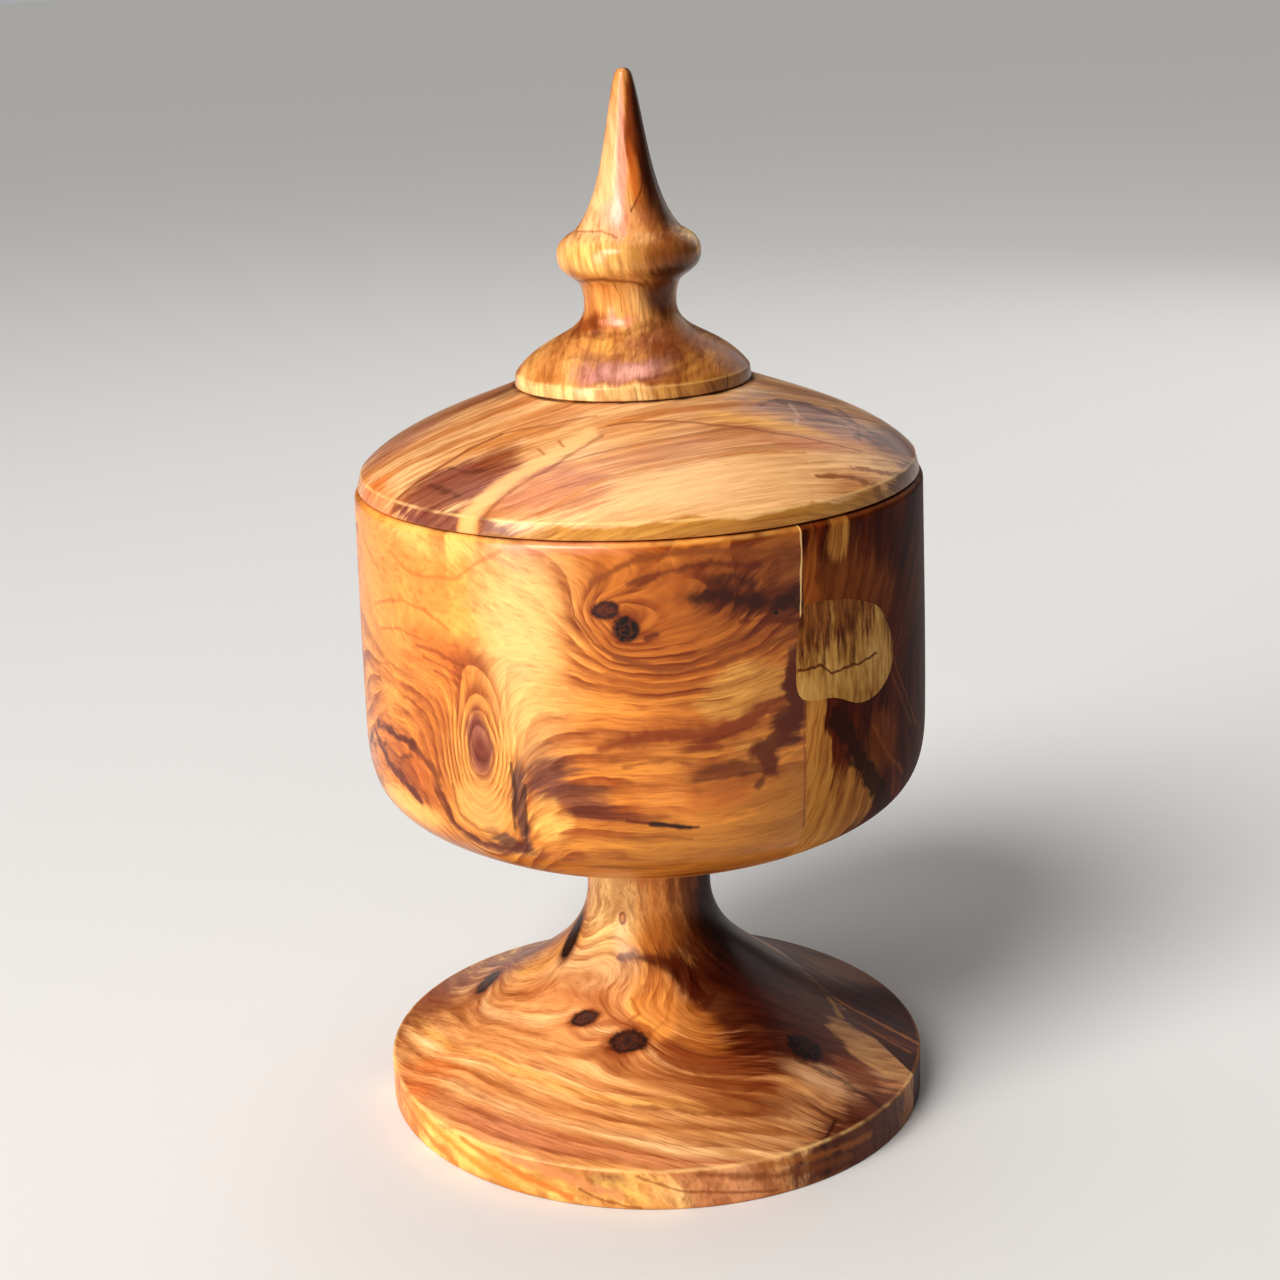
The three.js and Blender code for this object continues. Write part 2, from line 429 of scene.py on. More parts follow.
class Graph:
    """A material's shader nodes, added one after the other."""

    def __init__(self, name: str) -> None:
        """Starts a material.

        Args:
            name: The material's name.
        """
        self.material = bpy.data.materials.new(name)
        self.material.use_nodes = True
        self.tree = self.material.node_tree
        self.tree.nodes.clear()

    def add(self, kind: str, inputs: dict[Union[int, str], Value], output: Union[int, str] = 0,
            **settings: object) -> Socket:
        """Adds a node.

        Args:
            kind: The node's type.
            inputs: Sockets and values by the input's name or number.
            output: The output that is returned.
            **settings: The node's own settings.

        Returns:
            The output socket.
        """
        node = self.tree.nodes.new(kind)
        for key, setting in settings.items():
            setattr(node, key, setting)
        for key, value in inputs.items():
            if isinstance(value, bpy.types.NodeSocket):
                self.tree.links.new(value, node.inputs[key])
            else:
                node.inputs[key].default_value = value
        return node.outputs[output]

    def math(self, operation: str, *values: Value) -> Socket:
        """Adds arithmetic on up to three numbers."""
        return self.add("ShaderNodeMath", dict(enumerate(values)), operation=operation)

    def times(self, first: Value, second: Value) -> Socket:
        """Multiplies two numbers."""
        return self.math("MULTIPLY", first, second)

    def vector(self, operation: str, *values: Value, output: int = 0) -> Socket:
        """Adds arithmetic on vectors."""
        return self.add("ShaderNodeVectorMath", dict(enumerate(values)), output, operation=operation)

    def measure(self, operation: str, *values: Value) -> Socket:
        """Adds arithmetic on vectors that gives a number."""
        return self.vector(operation, *values, output=1)

    def scaled(self, place: Value, factor: Value) -> Socket:
        """Multiplies a vector by a number."""
        return self.add("ShaderNodeVectorMath", {0: place, "Scale": factor}, operation="SCALE")

    def joined(self, x: Value, y: Value, z: Value) -> Socket:
        """Makes a vector of three numbers."""
        return self.add("ShaderNodeCombineXYZ", {0: x, 1: y, 2: z})

    def parted(self, vector: Socket) -> tuple[Socket, Socket, Socket]:
        """Splits a vector into its three numbers."""
        node = self.add("ShaderNodeSeparateXYZ", {0: vector}).node
        return node.outputs[0], node.outputs[1], node.outputs[2]

    def noise(self, place: Socket, size: float, detail: float = 2, output: str = "Fac",
              roughness: float = 0.5) -> Socket:
        """Adds noise with features of a given size in millimetres."""
        inputs = {"Vector": place, "Scale": 1 / size, "Detail": detail, "Roughness": roughness}
        return self.add("ShaderNodeTexNoise", inputs, output)

    def drift(self, place: Socket, size: float, detail: float) -> Socket:
        """Adds a wandering vector, half a unit long at most on each axis."""
        return self.vector("SUBTRACT", self.noise(place, size, detail, "Color"), (0.5, 0.5, 0.5))

    def remap(self, value: Value, low: float, high: float, to_low: Value = 0, to_high: Value = 1,
              smooth_ends: bool = True) -> Socket:
        """Maps a range of a number onto another, and holds it beyond both ends."""
        inputs = {0: value, 1: low, 2: high, 3: to_low, 4: to_high}
        shape = "SMOOTHSTEP" if smooth_ends else "LINEAR"
        return self.add("ShaderNodeMapRange", inputs, interpolation_type=shape, clamp=not smooth_ends)

    def mix(self, factor: Value, first: Value, second: Value, blend: str = "MIX") -> Socket:
        """Mixes two colours."""
        inputs = {0: factor, 6: full(first), 7: full(second)}
        return self.add("ShaderNodeMix", inputs, 2, data_type="RGBA", blend_type=blend)

    def ramp(self, factor: Socket, tones: Sequence[Colour]) -> Socket:
        """Adds a colour ramp through evenly spaced tones."""
        colour = self.add("ShaderNodeValToRGB", {0: factor})
        elements = colour.node.color_ramp.elements
        while len(elements) < len(tones):
            elements.new(1)
        for step, (element, tone) in enumerate(zip(elements, tones)):
            element.position = step / (len(tones) - 1)
            element.color = full(tone)
        return colour

    def coated(self, colour: Socket, roughness: float, coat: float, coat_roughness: float,
               bump: Socket) -> bpy.types.Material:
        """Finishes the material as a surface with a clear coat on it.

        Args:
            colour: The surface's colour.
            roughness: The surface's own roughness.
            coat: How strong the coat is.
            coat_roughness: How rough the coat is.
            bump: The surface's relief.

        Returns:
            The material.
        """
        inputs = {
            "Base Color": colour, "Roughness": roughness, "Specular IOR Level": 0.05,
            "Coat Weight": coat, "Coat Roughness": coat_roughness, "Normal": bump,
        }
        return self.finish(self.add("ShaderNodeBsdfPrincipled", inputs))

    def finish(self, shader: Socket) -> bpy.types.Material:
        """Sends a shader to the material's output and returns the material."""
        node = self.tree.nodes.new("ShaderNodeOutputMaterial")
        self.tree.links.new(shader, node.inputs["Surface"])
        return self.material


def linear(code: Colour) -> Tint:
    """Turns a colour written as six hexadecimal digits into the renderer's own numbers."""
    parts = [int(code[at:at + 2], 16) / 255 for at in (0, 2, 4)]
    return tuple(part / 12.92 if part <= 0.04045 else ((part + 0.055) / 1.055) ** 2.4 for part in parts)


def full(value: Value) -> Value:
    """Gives a colour or a tint as the four numbers that a colour socket takes, and leaves a socket as it is."""
    if isinstance(value, Socket):
        return value
    return (*(linear(value) if isinstance(value, str) else value), 1)


@dataclass(frozen=True)
class Ground:
    """Where a shaded point is, in millimetres, in the piece and on its unrolled wall."""

    graph: Graph
    solid: Socket
    unrolled: Socket
    plan: Socket

    def at(self, layout: Layout) -> Socket:
        """The position in a layout."""
        return {Layout.SOLID: self.solid, Layout.PLAN: self.plan, Layout.UNROLLED: self.unrolled}[layout]

    def moved(self, shift: Socket, amount: float) -> Ground:
        """The position moved by a share of a vector."""
        graph = self.graph
        flat = graph.vector("MULTIPLY_ADD", shift, (amount, 0, amount), self.unrolled)
        level = graph.vector("MULTIPLY_ADD", shift, (amount, amount, 0), self.plan)
        return Ground(graph, graph.vector("MULTIPLY_ADD", shift, (amount,) * 3, self.solid), flat, level)

    def within(self, place: Place) -> Socket:
        """The position in an ellipsoid's own frame, where its surface is one unit from its centre."""
        turn = tuple(math.radians(angle) for angle in place.turn)
        inputs = {"Vector": self.at(place.layout), "Location": place.centre, "Rotation": turn, "Scale": place.half}
        return self.graph.add("ShaderNodeMapping", inputs, vector_type="TEXTURE")

    def reach(self, place: Place) -> Socket:
        """Distance from an ellipsoid's centre, 1 at its surface and FARTHEST at most."""
        inputs = {0: self.within(place.grown(FARTHEST))}
        nearness = self.graph.add("ShaderNodeTexGradient", inputs, "Fac", gradient_type="SPHERICAL")
        return self.graph.math("MULTIPLY_ADD", nearness, -FARTHEST, FARTHEST)

    def away(self, route: Route) -> Socket:
        """Distance in millimetres from a line of straight stretches."""
        graph, position = self.graph, self.at(route.layout)
        nearest: Optional[Socket] = None
        for start, end in zip(route.points, route.points[1:]):
            stretch = Vector(end) - Vector(start)
            offset = graph.vector("SUBTRACT", position, start)
            slope = tuple(stretch / stretch.length_squared)
            share = graph.add("ShaderNodeClamp", {0: graph.measure("DOT_PRODUCT", offset, slope)})
            gap = graph.measure("DISTANCE", offset, graph.scaled(tuple(stretch), share))
            nearest = gap if nearest is None else graph.math("MINIMUM", nearest, gap)
        return nearest


# ---------------------------------------------------------------- colours


CREAM = "F8D290"
PALE_GOLD = "F4BC66"
GOLD = "F0A648"
AMBER = "E69038"
ORANGE = "DA782E"
TAN = "C67C36"
OCHRE = "AE6628"
BROWN = "8C4A1C"
RUST = "8A3E16"
RED_BROWN = "64240A"
DARK_BROWN = "3C1406"
PURPLE = "86483A"
MAUVE = "B57460"
PINK = "E89C7C"
YELLOW = "F8CC74"
KHAKI = "D2964A"
HONEY = "EA9E4C"
PEACH = "E8AE72"
PALE_PEACH = "F2C690"
ROSE = "D08A60"
BARK = "1A0B08"
GREY_BARK = "38291F"


# ---------------------------------------------------------------- wood

Mark = TypeVar("Mark", Hill, Patch, Streak, Knot)


def marks(
    kind: Callable[..., Mark], shape: Callable[..., Union[Place, Route]], table: Iterable[Row]
) -> tuple[Mark, ...]:
    """Lays out a table of one kind of mark.

    Args:
        kind: The kind of mark.
        shape: What makes a place or a route of each row's first cell.
        table: A row for each mark: its place's numbers or its route's corners, and then its look.

    Returns:
        The marks, in the table's order.
    """
    return tuple(kind(shape(*where), *look) for where, *look in table)


@dataclass(frozen=True)
class Band:
    """A run of growth rings of one colour, between two ring distances."""

    start: float
    end: float
    colour: Colour
    strength: float = 0.7
    softness: float = 2.5


# How quickly the figure changes along the fibres, beside them and outwards, for each millimetre.
ALONG, BESIDE, OUTWARD = 0.045, 0.16, 0.28
# What the wood's colour is multiplied by in its figure.
DARK_GRAIN, PALE_GRAIN = (0.58, 0.42, 0.30), (1.22, 1.3, 1.4)
FLECK, DASH, GLINT = (0.55, 0.33, 0.18), (0.58, 0.38, 0.24), (1.2, 1.22, 1.2)


@dataclass(frozen=True)
class Wood:
    """A piece of figured, varnished wood: rings, colour patches, knots, fibres and gloss."""

    name: str
    slot: str
    rings: Rings
    fibre: Point
    tones: tuple[Colour, ...]
    wall: Wall
    ring_tint: Tint = (0.50, 0.27, 0.15)
    ring_strength: float = 0.55
    fleck_strength: float = 0.5
    grain_strength: float = 0.55
    hills: tuple[Hill, ...] = ()
    bands: tuple[Band, ...] = ()
    patches: tuple[Patch, ...] = ()
    streaks: tuple[Streak, ...] = ()
    knots: tuple[Knot, ...] = ()
    # Painted highlights and painted shade along turned edges.
    edge_highlights_and_shade: tuple[PaintedEdgeShading, ...] = ()
    calm: tuple[Place, ...] = ()
    seed: Point = (0, 0, 0)
    roughness: float = 0.45
    coat: float = 0.45

    def material(self) -> bpy.types.Material:
        """Builds the wood's material.

        Returns:
            The material.
        """
        graph = Graph(self.name)
        solid = graph.scaled(graph.add("ShaderNodeTexCoord", {}, "Object"), 1 / MM)
        plan = graph.vector("MULTIPLY", solid, (1, 1, 0))
        along, _, height = self.wall.unrolled(graph, solid)
        ground = Ground(graph, solid, graph.joined(along, 0.0, height), plan)
        drawn = graph.vector("ADD", solid, self.seed)
        shift = graph.drift(drawn, 11, 3)
        blurred, steady = ground.moved(shift, 6), ground.moved(shift, 2.2)
        rings = self.ring_distance(graph, ground, drawn)
        strands = self.strand_place(graph, solid, rings)
        fine = graph.noise(strands, 0.36, 3, roughness=0.6)
        fleck = graph.noise(graph.vector("ADD", strands, (31, 17, 9)), 1.15, 3, roughness=0.6)
        colour = self.figure(graph, rings, strands, drawn, fleck)
        tongues = graph.noise(strands, 3.0, 3, roughness=0.65)
        splinters = graph.noise(graph.vector("ADD", strands, (5, 53, 29)), 0.9, 3, roughness=0.65)
        fray = graph.math("ADD", graph.math("MULTIPLY_ADD", tongues, 0.6, -0.5), graph.times(splinters, 0.4))
        for patch in self.patches:
            colour = self.patched(graph, colour, blurred, fray, patch)
        liveliness = self.liveliness(graph, blurred)
        colour = self.grained(graph, colour, strands, liveliness)
        colour = self.lined(graph, colour, rings, drawn, liveliness)
        colour = self.flecked(graph, colour, fleck, fine, liveliness)
        torn = graph.math("MULTIPLY_ADD", graph.noise(drawn, 3.4, 3), 0.8, -0.4)
        torn = graph.math("MULTIPLY_ADD", fray, 0.5, torn)
        for streak in self.streaks:
            colour = self.streaked(graph, colour, steady, torn, streak)
        for knot in self.knots:
            colour = self.knotted(graph, colour, steady, drawn, knot)
        # Paints highlights and shade along the turned edges.
        for arris in self.edge_highlights_and_shade:
            colour = self.paint_edge_shading(graph, colour, solid, drawn, arris)
        return self.varnished(graph, colour, fine)

    def ring_distance(self, graph: Graph, ground: Ground, drawn: Socket) -> Socket:
        """The growth rings' distance in millimetres, bent round knots and wandering through the wood."""
        slow = graph.drift(drawn, 38, 1)
        quick = graph.drift(drawn, 9, 2)
        shift = graph.vector(
            "ADD", graph.scaled(slow, 2 * self.rings.wander), graph.scaled(quick, 2 * self.rings.ripple)
        )
        bent = graph.vector("ADD", ground.solid, shift)
        if self.rings.pith is None:
            rings = graph.measure("DOT_PRODUCT", bent, self.rings.slope)
        else:
            offset = graph.vector("SUBTRACT", bent, self.rings.pith)
            rings = graph.measure("LENGTH", graph.vector("CROSS_PRODUCT", offset, self.rings.slope))
        settled = ground.moved(quick, 2)
        for hill in [*self.hills, *(knot.hill() for knot in self.knots)]:
            local = settled.within(hill.place)
            squared = graph.measure("DOT_PRODUCT", local, local)
            rings = graph.math(
                "MULTIPLY_ADD", graph.math("EXPONENT", graph.times(squared, -1)), hill.rise, rings
            )
        return rings

    def strand_place(self, graph: Graph, solid: Socket, rings: Socket) -> Socket:
        """Coordinates that run slowly along the fibres and quickly across the rings."""
        fibre, slope = Vector(self.fibre).normalized(), Vector(self.rings.slope)
        side = (fibre.cross(slope) if self.rings.pith is None else -slope).normalized()
        along = graph.measure("DOT_PRODUCT", solid, tuple(fibre * ALONG))
        beside = graph.measure("DOT_PRODUCT", solid, tuple(side * BESIDE))
        outward = graph.measure("DOT_PRODUCT", solid, tuple(side.cross(fibre) * OUTWARD))
        return graph.joined(along, beside, graph.math("ADD", rings, outward))

    def figure(self, graph: Graph, rings: Socket, strands: Socket, drawn: Socket, fleck: Socket) -> Socket:
        """The wood's own colour: runs of light and dark rings, with fibres in them."""
        coarse = graph.noise(strands, 4.5, 3)
        blotch = graph.noise(drawn, 30, 2)
        tone = graph.math("MULTIPLY_ADD", coarse, 0.5, graph.times(blotch, 0.3))
        tone = graph.math("MULTIPLY_ADD", fleck, 0.2, tone)
        colour = graph.ramp(graph.remap(tone, 0.36, 0.64, smooth_ends=False), self.tones)
        for band in self.bands:
            start = graph.remap(rings, band.start - band.softness, band.start + band.softness)
            end = graph.remap(rings, band.end + band.softness, band.end - band.softness)
            cover = graph.times(graph.times(start, end), band.strength)
            colour = graph.mix(cover, colour, band.colour)
        return colour

    def patched(self, graph: Graph, colour: Socket, ground: Ground, fray: Socket, patch: Patch) -> Socket:
        """Lays a colour patch over the wood."""
        reach = graph.math("MULTIPLY_ADD", fray, 6 * patch.ragged, ground.reach(patch.place))
        blur = 0.8 * patch.softness
        cover = graph.remap(reach, 1 + blur, 1 - blur, 0, patch.strength)
        return graph.mix(cover, colour, patch.colour)

    def liveliness(self, graph: Graph, ground: Ground) -> Value:
        """How strong the figure is: 1, and less in the calm places."""
        strength: Value = 1.0
        for place in self.calm:
            strength = graph.times(graph.remap(ground.reach(place), 0.6, 1.3, 0.25, 1), strength)
        return strength

    def grained(self, graph: Graph, colour: Socket, strands: Socket, liveliness: Value) -> Socket:
        """Shades the wood and its patches along the fibres."""
        grain = graph.noise(graph.vector("ADD", strands, (71, 3, 37)), 1.9, 4, roughness=0.7)
        strength = graph.times(liveliness, self.grain_strength)
        dark = graph.times(graph.remap(grain, 0.52, 0.36), strength)
        colour = graph.mix(dark, colour, DARK_GRAIN, "MULTIPLY")
        pale = graph.times(graph.remap(grain, 0.5, 0.66), strength)
        return graph.mix(pale, colour, PALE_GRAIN, "MULTIPLY")

    def lined(self, graph: Graph, colour: Socket, rings: Socket, drawn: Socket, liveliness: Value) -> Socket:
        """Draws the dark lines of the late wood."""
        turn = graph.math("FRACT", graph.math("DIVIDE", rings, self.rings.spacing))
        line = graph.times(graph.remap(turn, 0.1, 0.92), graph.remap(turn, 1.0, 0.94))
        faint = graph.remap(graph.noise(drawn, 15, 3), 0.38, 0.6, 0.1, self.ring_strength)
        strength = graph.times(graph.times(line, faint), liveliness)
        return graph.mix(strength, colour, self.ring_tint, "MULTIPLY")

    def flecked(self, graph: Graph, colour: Socket, fleck: Socket, fine: Socket, liveliness: Value) -> Socket:
        """Draws flecks beside the lines, and the fine fibres."""
        flecks = graph.times(graph.remap(fleck, 0.52, 0.66, 0, self.fleck_strength), liveliness)
        colour = graph.mix(flecks, colour, FLECK, "MULTIPLY")
        dashes = graph.remap(fine, 0.5, 0.7, 0, 0.4)
        colour = graph.mix(dashes, colour, DASH, "MULTIPLY")
        glints = graph.remap(fine, 0.47, 0.3, 0, 0.5)
        return graph.mix(glints, colour, GLINT, "MULTIPLY")

    def streaked(self, graph: Graph, colour: Socket, ground: Ground, torn: Socket, streak: Streak) -> Socket:
        """Draws a streak along its route."""
        away = graph.math("DIVIDE", ground.away(streak.route), streak.width)
        away = graph.math("MULTIPLY_ADD", torn, 7 * streak.ragged, away)
        cover = graph.remap(away, 1 + streak.softness, 1 - streak.softness, 0, streak.strength)
        return graph.mix(cover, colour, streak.colour)

    def knotted(self, graph: Graph, colour: Socket, ground: Ground, drawn: Socket, knot: Knot) -> Socket:
        """Sets a knot into the wood: a stained halo, a dark bark ring, a core and its cracks."""
        crumble = graph.math("MULTIPLY_ADD", graph.noise(drawn, 2.2, 4, roughness=0.6), 0.7, -0.35)
        reach = graph.math("ADD", ground.reach(knot.place), crumble)
        colour = graph.mix(graph.remap(reach, knot.spread, 0.95, 0, 0.75), colour, knot.halo)
        grain = graph.noise(drawn, 1.1, 4, roughness=0.7)
        core = graph.mix(graph.remap(grain, 0.45, 0.72, 0, 0.55), knot.core, knot.halo)
        colour = graph.mix(graph.remap(reach, 1.14, 0.82), colour, core)
        bark = graph.times(graph.remap(reach, 0.5, 0.9), graph.remap(reach, 1.3, 0.9))
        colour = graph.mix(graph.times(bark, 0.55), colour, BARK)
        cells = {"Vector": drawn, "Scale": 0.38}
        crack = graph.add("ShaderNodeTexVoronoi", cells, "Distance", feature="DISTANCE_TO_EDGE")
        split = graph.times(graph.remap(crack, 0.07, 0.02), graph.remap(reach, 0.95, 0.7))
        return graph.mix(graph.times(split, 0.3), colour, knot.halo)

    def paint_edge_shading(self, graph: Graph, colour: Socket, solid: Socket, drawn: Socket, arris: PaintedEdgeShading) -> Socket:
        """Paints a highlight, or shade when its colour is dark, along a turned edge."""
        radius = graph.measure("LENGTH", graph.vector("MULTIPLY", solid, (1, 1, 0)))
        height = graph.parted(solid)[2]
        away = graph.measure("DISTANCE", graph.joined(radius, 0.0, height), (arris.radius, 0, arris.height))
        patchy = graph.remap(graph.noise(drawn, 7, 3), 0.35, 0.6, 0.25 * arris.strength, arris.strength)
        cover = graph.times(graph.remap(away, arris.width, 0.1 * arris.width), patchy)
        return graph.mix(cover, colour, arris.colour)

    def varnished(self, graph: Graph, colour: Socket, fine: Socket) -> bpy.types.Material:
        """Puts the satin varnish over the wood, with the fibres just felt through it."""
        bump = graph.add("ShaderNodeBump", {"Strength": 0.12, "Distance": 0.1 * MM, "Height": fine})
        return graph.coated(colour, self.roughness, self.coat, 0.23, bump)


# ---------------------------------------------------------------- the foot


# The foot's figure, with a painted highlight on the left of the stem. Places seen from above are (x, y, along,
# across, turn, height, depth) and those on its edge are (azimuth, height, across, up, lean). A look follows: of a
# hill its rise, of a patch its colour, strength, softness and raggedness, of a streak its width and the same, of a
# knot its core, halo, bulge and spread.
FOOT_HILLS = (
    ((-5, -32, 20, 8, -25), -8),
    ((12, -34, 15, 12, -40), -7),
    ((-13, -21, 17, 9, -28), 11),
    ((26, -47, 17, 9, -8), 6),
)
FOOT_BANDS = (
    (24, 31, HONEY, 0.5, 1.5), (38, 40, PALE_GOLD, 0.5, 0.9), (43.5, 44.5, OCHRE, 0.4, 0.6),
    (47, 48.5, PALE_PEACH, 0.6, 0.8), (51, 52, OCHRE, 0.45, 0.5), (55, 56.5, PALE_GOLD, 0.6, 0.7),
    (58.8, 59.8, OCHRE, 0.45, 0.5), (61.5, 63, PALE_PEACH, 0.6, 0.6), (64, 67, ROSE, 0.7, 1.0),
    (68, 71, PALE_GOLD, 0.5, 0.8),
)
FOOT_PATCHES = (
    ((-66, 34, 28, 17, 62), RUST, 0.75, 0.5, 0.5),
    ((-32, 30, 22, 13, 80), RUST, 0.75, 0.5, 0.4),
    ((0, 62, 50, 20, 5), BROWN, 0.5, 0.5, 0.6),
    ((-42, -58, 24, 6, -38), ROSE, 0.65, 0.5, 0.4),
    ((18, -52, 27, 11, -8), "B0703E", 0.8, 0.6, 0.6),
    ((14, -46, 18, 5, -10), RUST, 0.75, 0.7, 0.9),
    ((25, -39, 16, 5, 6), "8A4820", 0.85, 0.6, 0.6),
    ((20, -56, 16, 2.4, 2), RUST, 0.5, 0.8, 1.0),
    ((34, -13, 36, 21, -28), RED_BROWN, 0.95, 0.3, 0.3),
    ((20, -27, 18, 12, -38), RED_BROWN, 0.93, 0.35, 0.4),
    ((24, -8, 14, 12), DARK_BROWN, 0.75, 0.6, 0.3),
    ((5, -23.5, 10, 3.4, -30), RED_BROWN, 0.85, 0.4, 0.4),
    ((36, -33, 9, 7, 0), DARK_BROWN, 0.6, 0.7, 0.4),
    ((46, -53, 21, 10, 28), "CC9868", 0.9, 0.5, 0.4),
    ((44, -43, 11, 3.4, -10), "D8AA80", 0.75, 0.6, 0.5),
    ((36, -51, 7, 2.4, 20), BROWN, 0.4, 0.8, 0.9),
    ((58, -26, 13, 6.5, -40), "DAA468", 0.85, 0.2, 0.2),
    ((52, -38, 7, 5, -40), RUST, 0.75, 0.5, 0.4),
    ((9, -36, 8, 5.5, -35), "C07A38", 0.8, 0.4, 0.3),
    ((-2, -31, 6, 8, 10), HONEY, 0.7, 0.3, 0.2),
    ((-17, -16, 15, 6, -38), PALE_PEACH, 0.75, 0.5, 0.2),
    ((-5, -17, 15, 7, 0, 60, 15), HONEY, 0.75, 0.5, 0.3),
    # A painted highlight on the left of the stem.
    ((-12, -13, 9, 8, -30, 60, 18), CREAM, 0.92, 0.5, 0.25),
    ((3, -17.5, 8, 4, 0, 52, 6), TAN, 0.7, 0.4, 0.6),
    ((13, -14, 6, 8, -40, 58, 22), BROWN, 0.75, 0.5, 0.4),
    ((19, -5, 7, 14, -10, 58, 24), DARK_BROWN, 0.95, 0.4, 0.3),
)
FOOT_EDGE_PATCHES = (
    ((42, 5, 19, 9), RED_BROWN, 0.92, 0.3, 0.3),
    ((-14, 7.5, 4, 2.6), PURPLE, 0.8, 0.5, 0.5),
    ((-50, 5, 36, 6), YELLOW, 0.8, 0.5, 0.4),
    ((-72, 5, 11, 12), ORANGE, 0.6, 0.4, 0.3),
)
FOOT_STREAKS = (
    (((0, -24.5), (2.5, -30), (1, -35), (-5, -38)), 0.5, BROWN, 0.3, 0.9, 0.7),
    (((-8, -29), (-6, -33), (-9, -34)), 0.35, OCHRE, 0.6, 0.8, 0.4),
    (((-20, -31.5), (-10, -34.5), (-4, -36.5)), 0.7, RUST, 0.5, 0.9, 0.6),
    (((-10, -19.5), (-2, -22), (6, -23)), 0.7, RED_BROWN, 0.75, 0.8, 0.5),
    (((43, -57), (41, -61), (38.5, -66)), 0.5, DARK_BROWN, 0.75, 0.6, 0.4),
    (((36, -39), (45, -41), (53, -45), (58, -50)), 0.9, DARK_BROWN, 0.6, 0.9, 0.7),
    (((-2, -44), (12, -50), (28, -51)), 0.6, BROWN, 0.5, 0.9, 0.8),
    (((-10, -56), (8, -59), (30, -58)), 0.6, BROWN, 0.5, 0.9, 0.8),
    (((52, -14), (50.5, -7)), 1.0, KHAKI, 0.7, 0.7, 0.5),
)
FOOT_EDGE_STREAKS = (
    (((-74, 8), (-62, 5), (-50, 1)), 0.9, ORANGE, 0.75, 0.7, 0.4),
    (((-66, 10), (-50, 6.5), (-34, 1.5)), 1.2, AMBER, 0.8, 0.7, 0.4),
    (((-48, 10), (-34, 6.5), (-22, 2)), 0.8, ORANGE, 0.75, 0.7, 0.4),
    (((-36, 10.3), (-24, 8), (-12, 4)), 1.3, ROSE, 0.7, 0.8, 0.5),
    (((4, 10), (20, 6), (38, 3.5)), 1.0, BROWN, 0.7, 0.8, 0.5),
    (((16, 10.4), (30, 8), (44, 6.5)), 0.9, OCHRE, 0.7, 0.8, 0.5),
    (((-20, 5), (-14, 2), (-8, 0.5)), 0.4, BROWN, 0.6, 0.8, 0.4),
    (((-8, 10), (0, 5.5), (20, 1.5)), 0.4, BROWN, 0.6, 0.8, 0.4),
)
FOOT_KNOTS = (
    ((-21, -29.3, 3.8, 1.8, -14), "4A342E", RUST, 4, 1.7),
    ((-10, -38.8, 5.2, 2.7, -4), "3E2823", RUST, 5, 1.7),
    ((38.5, -34, 4.4, 3.9, 20), BARK, RED_BROWN, 4),
    ((-47, 16, 7, 3, 72), GREY_BARK, RUST, 5, 2.2),
    ((-22.5, -3.5, 5, 2.2, 65), GREY_BARK, RED_BROWN, 5),
)


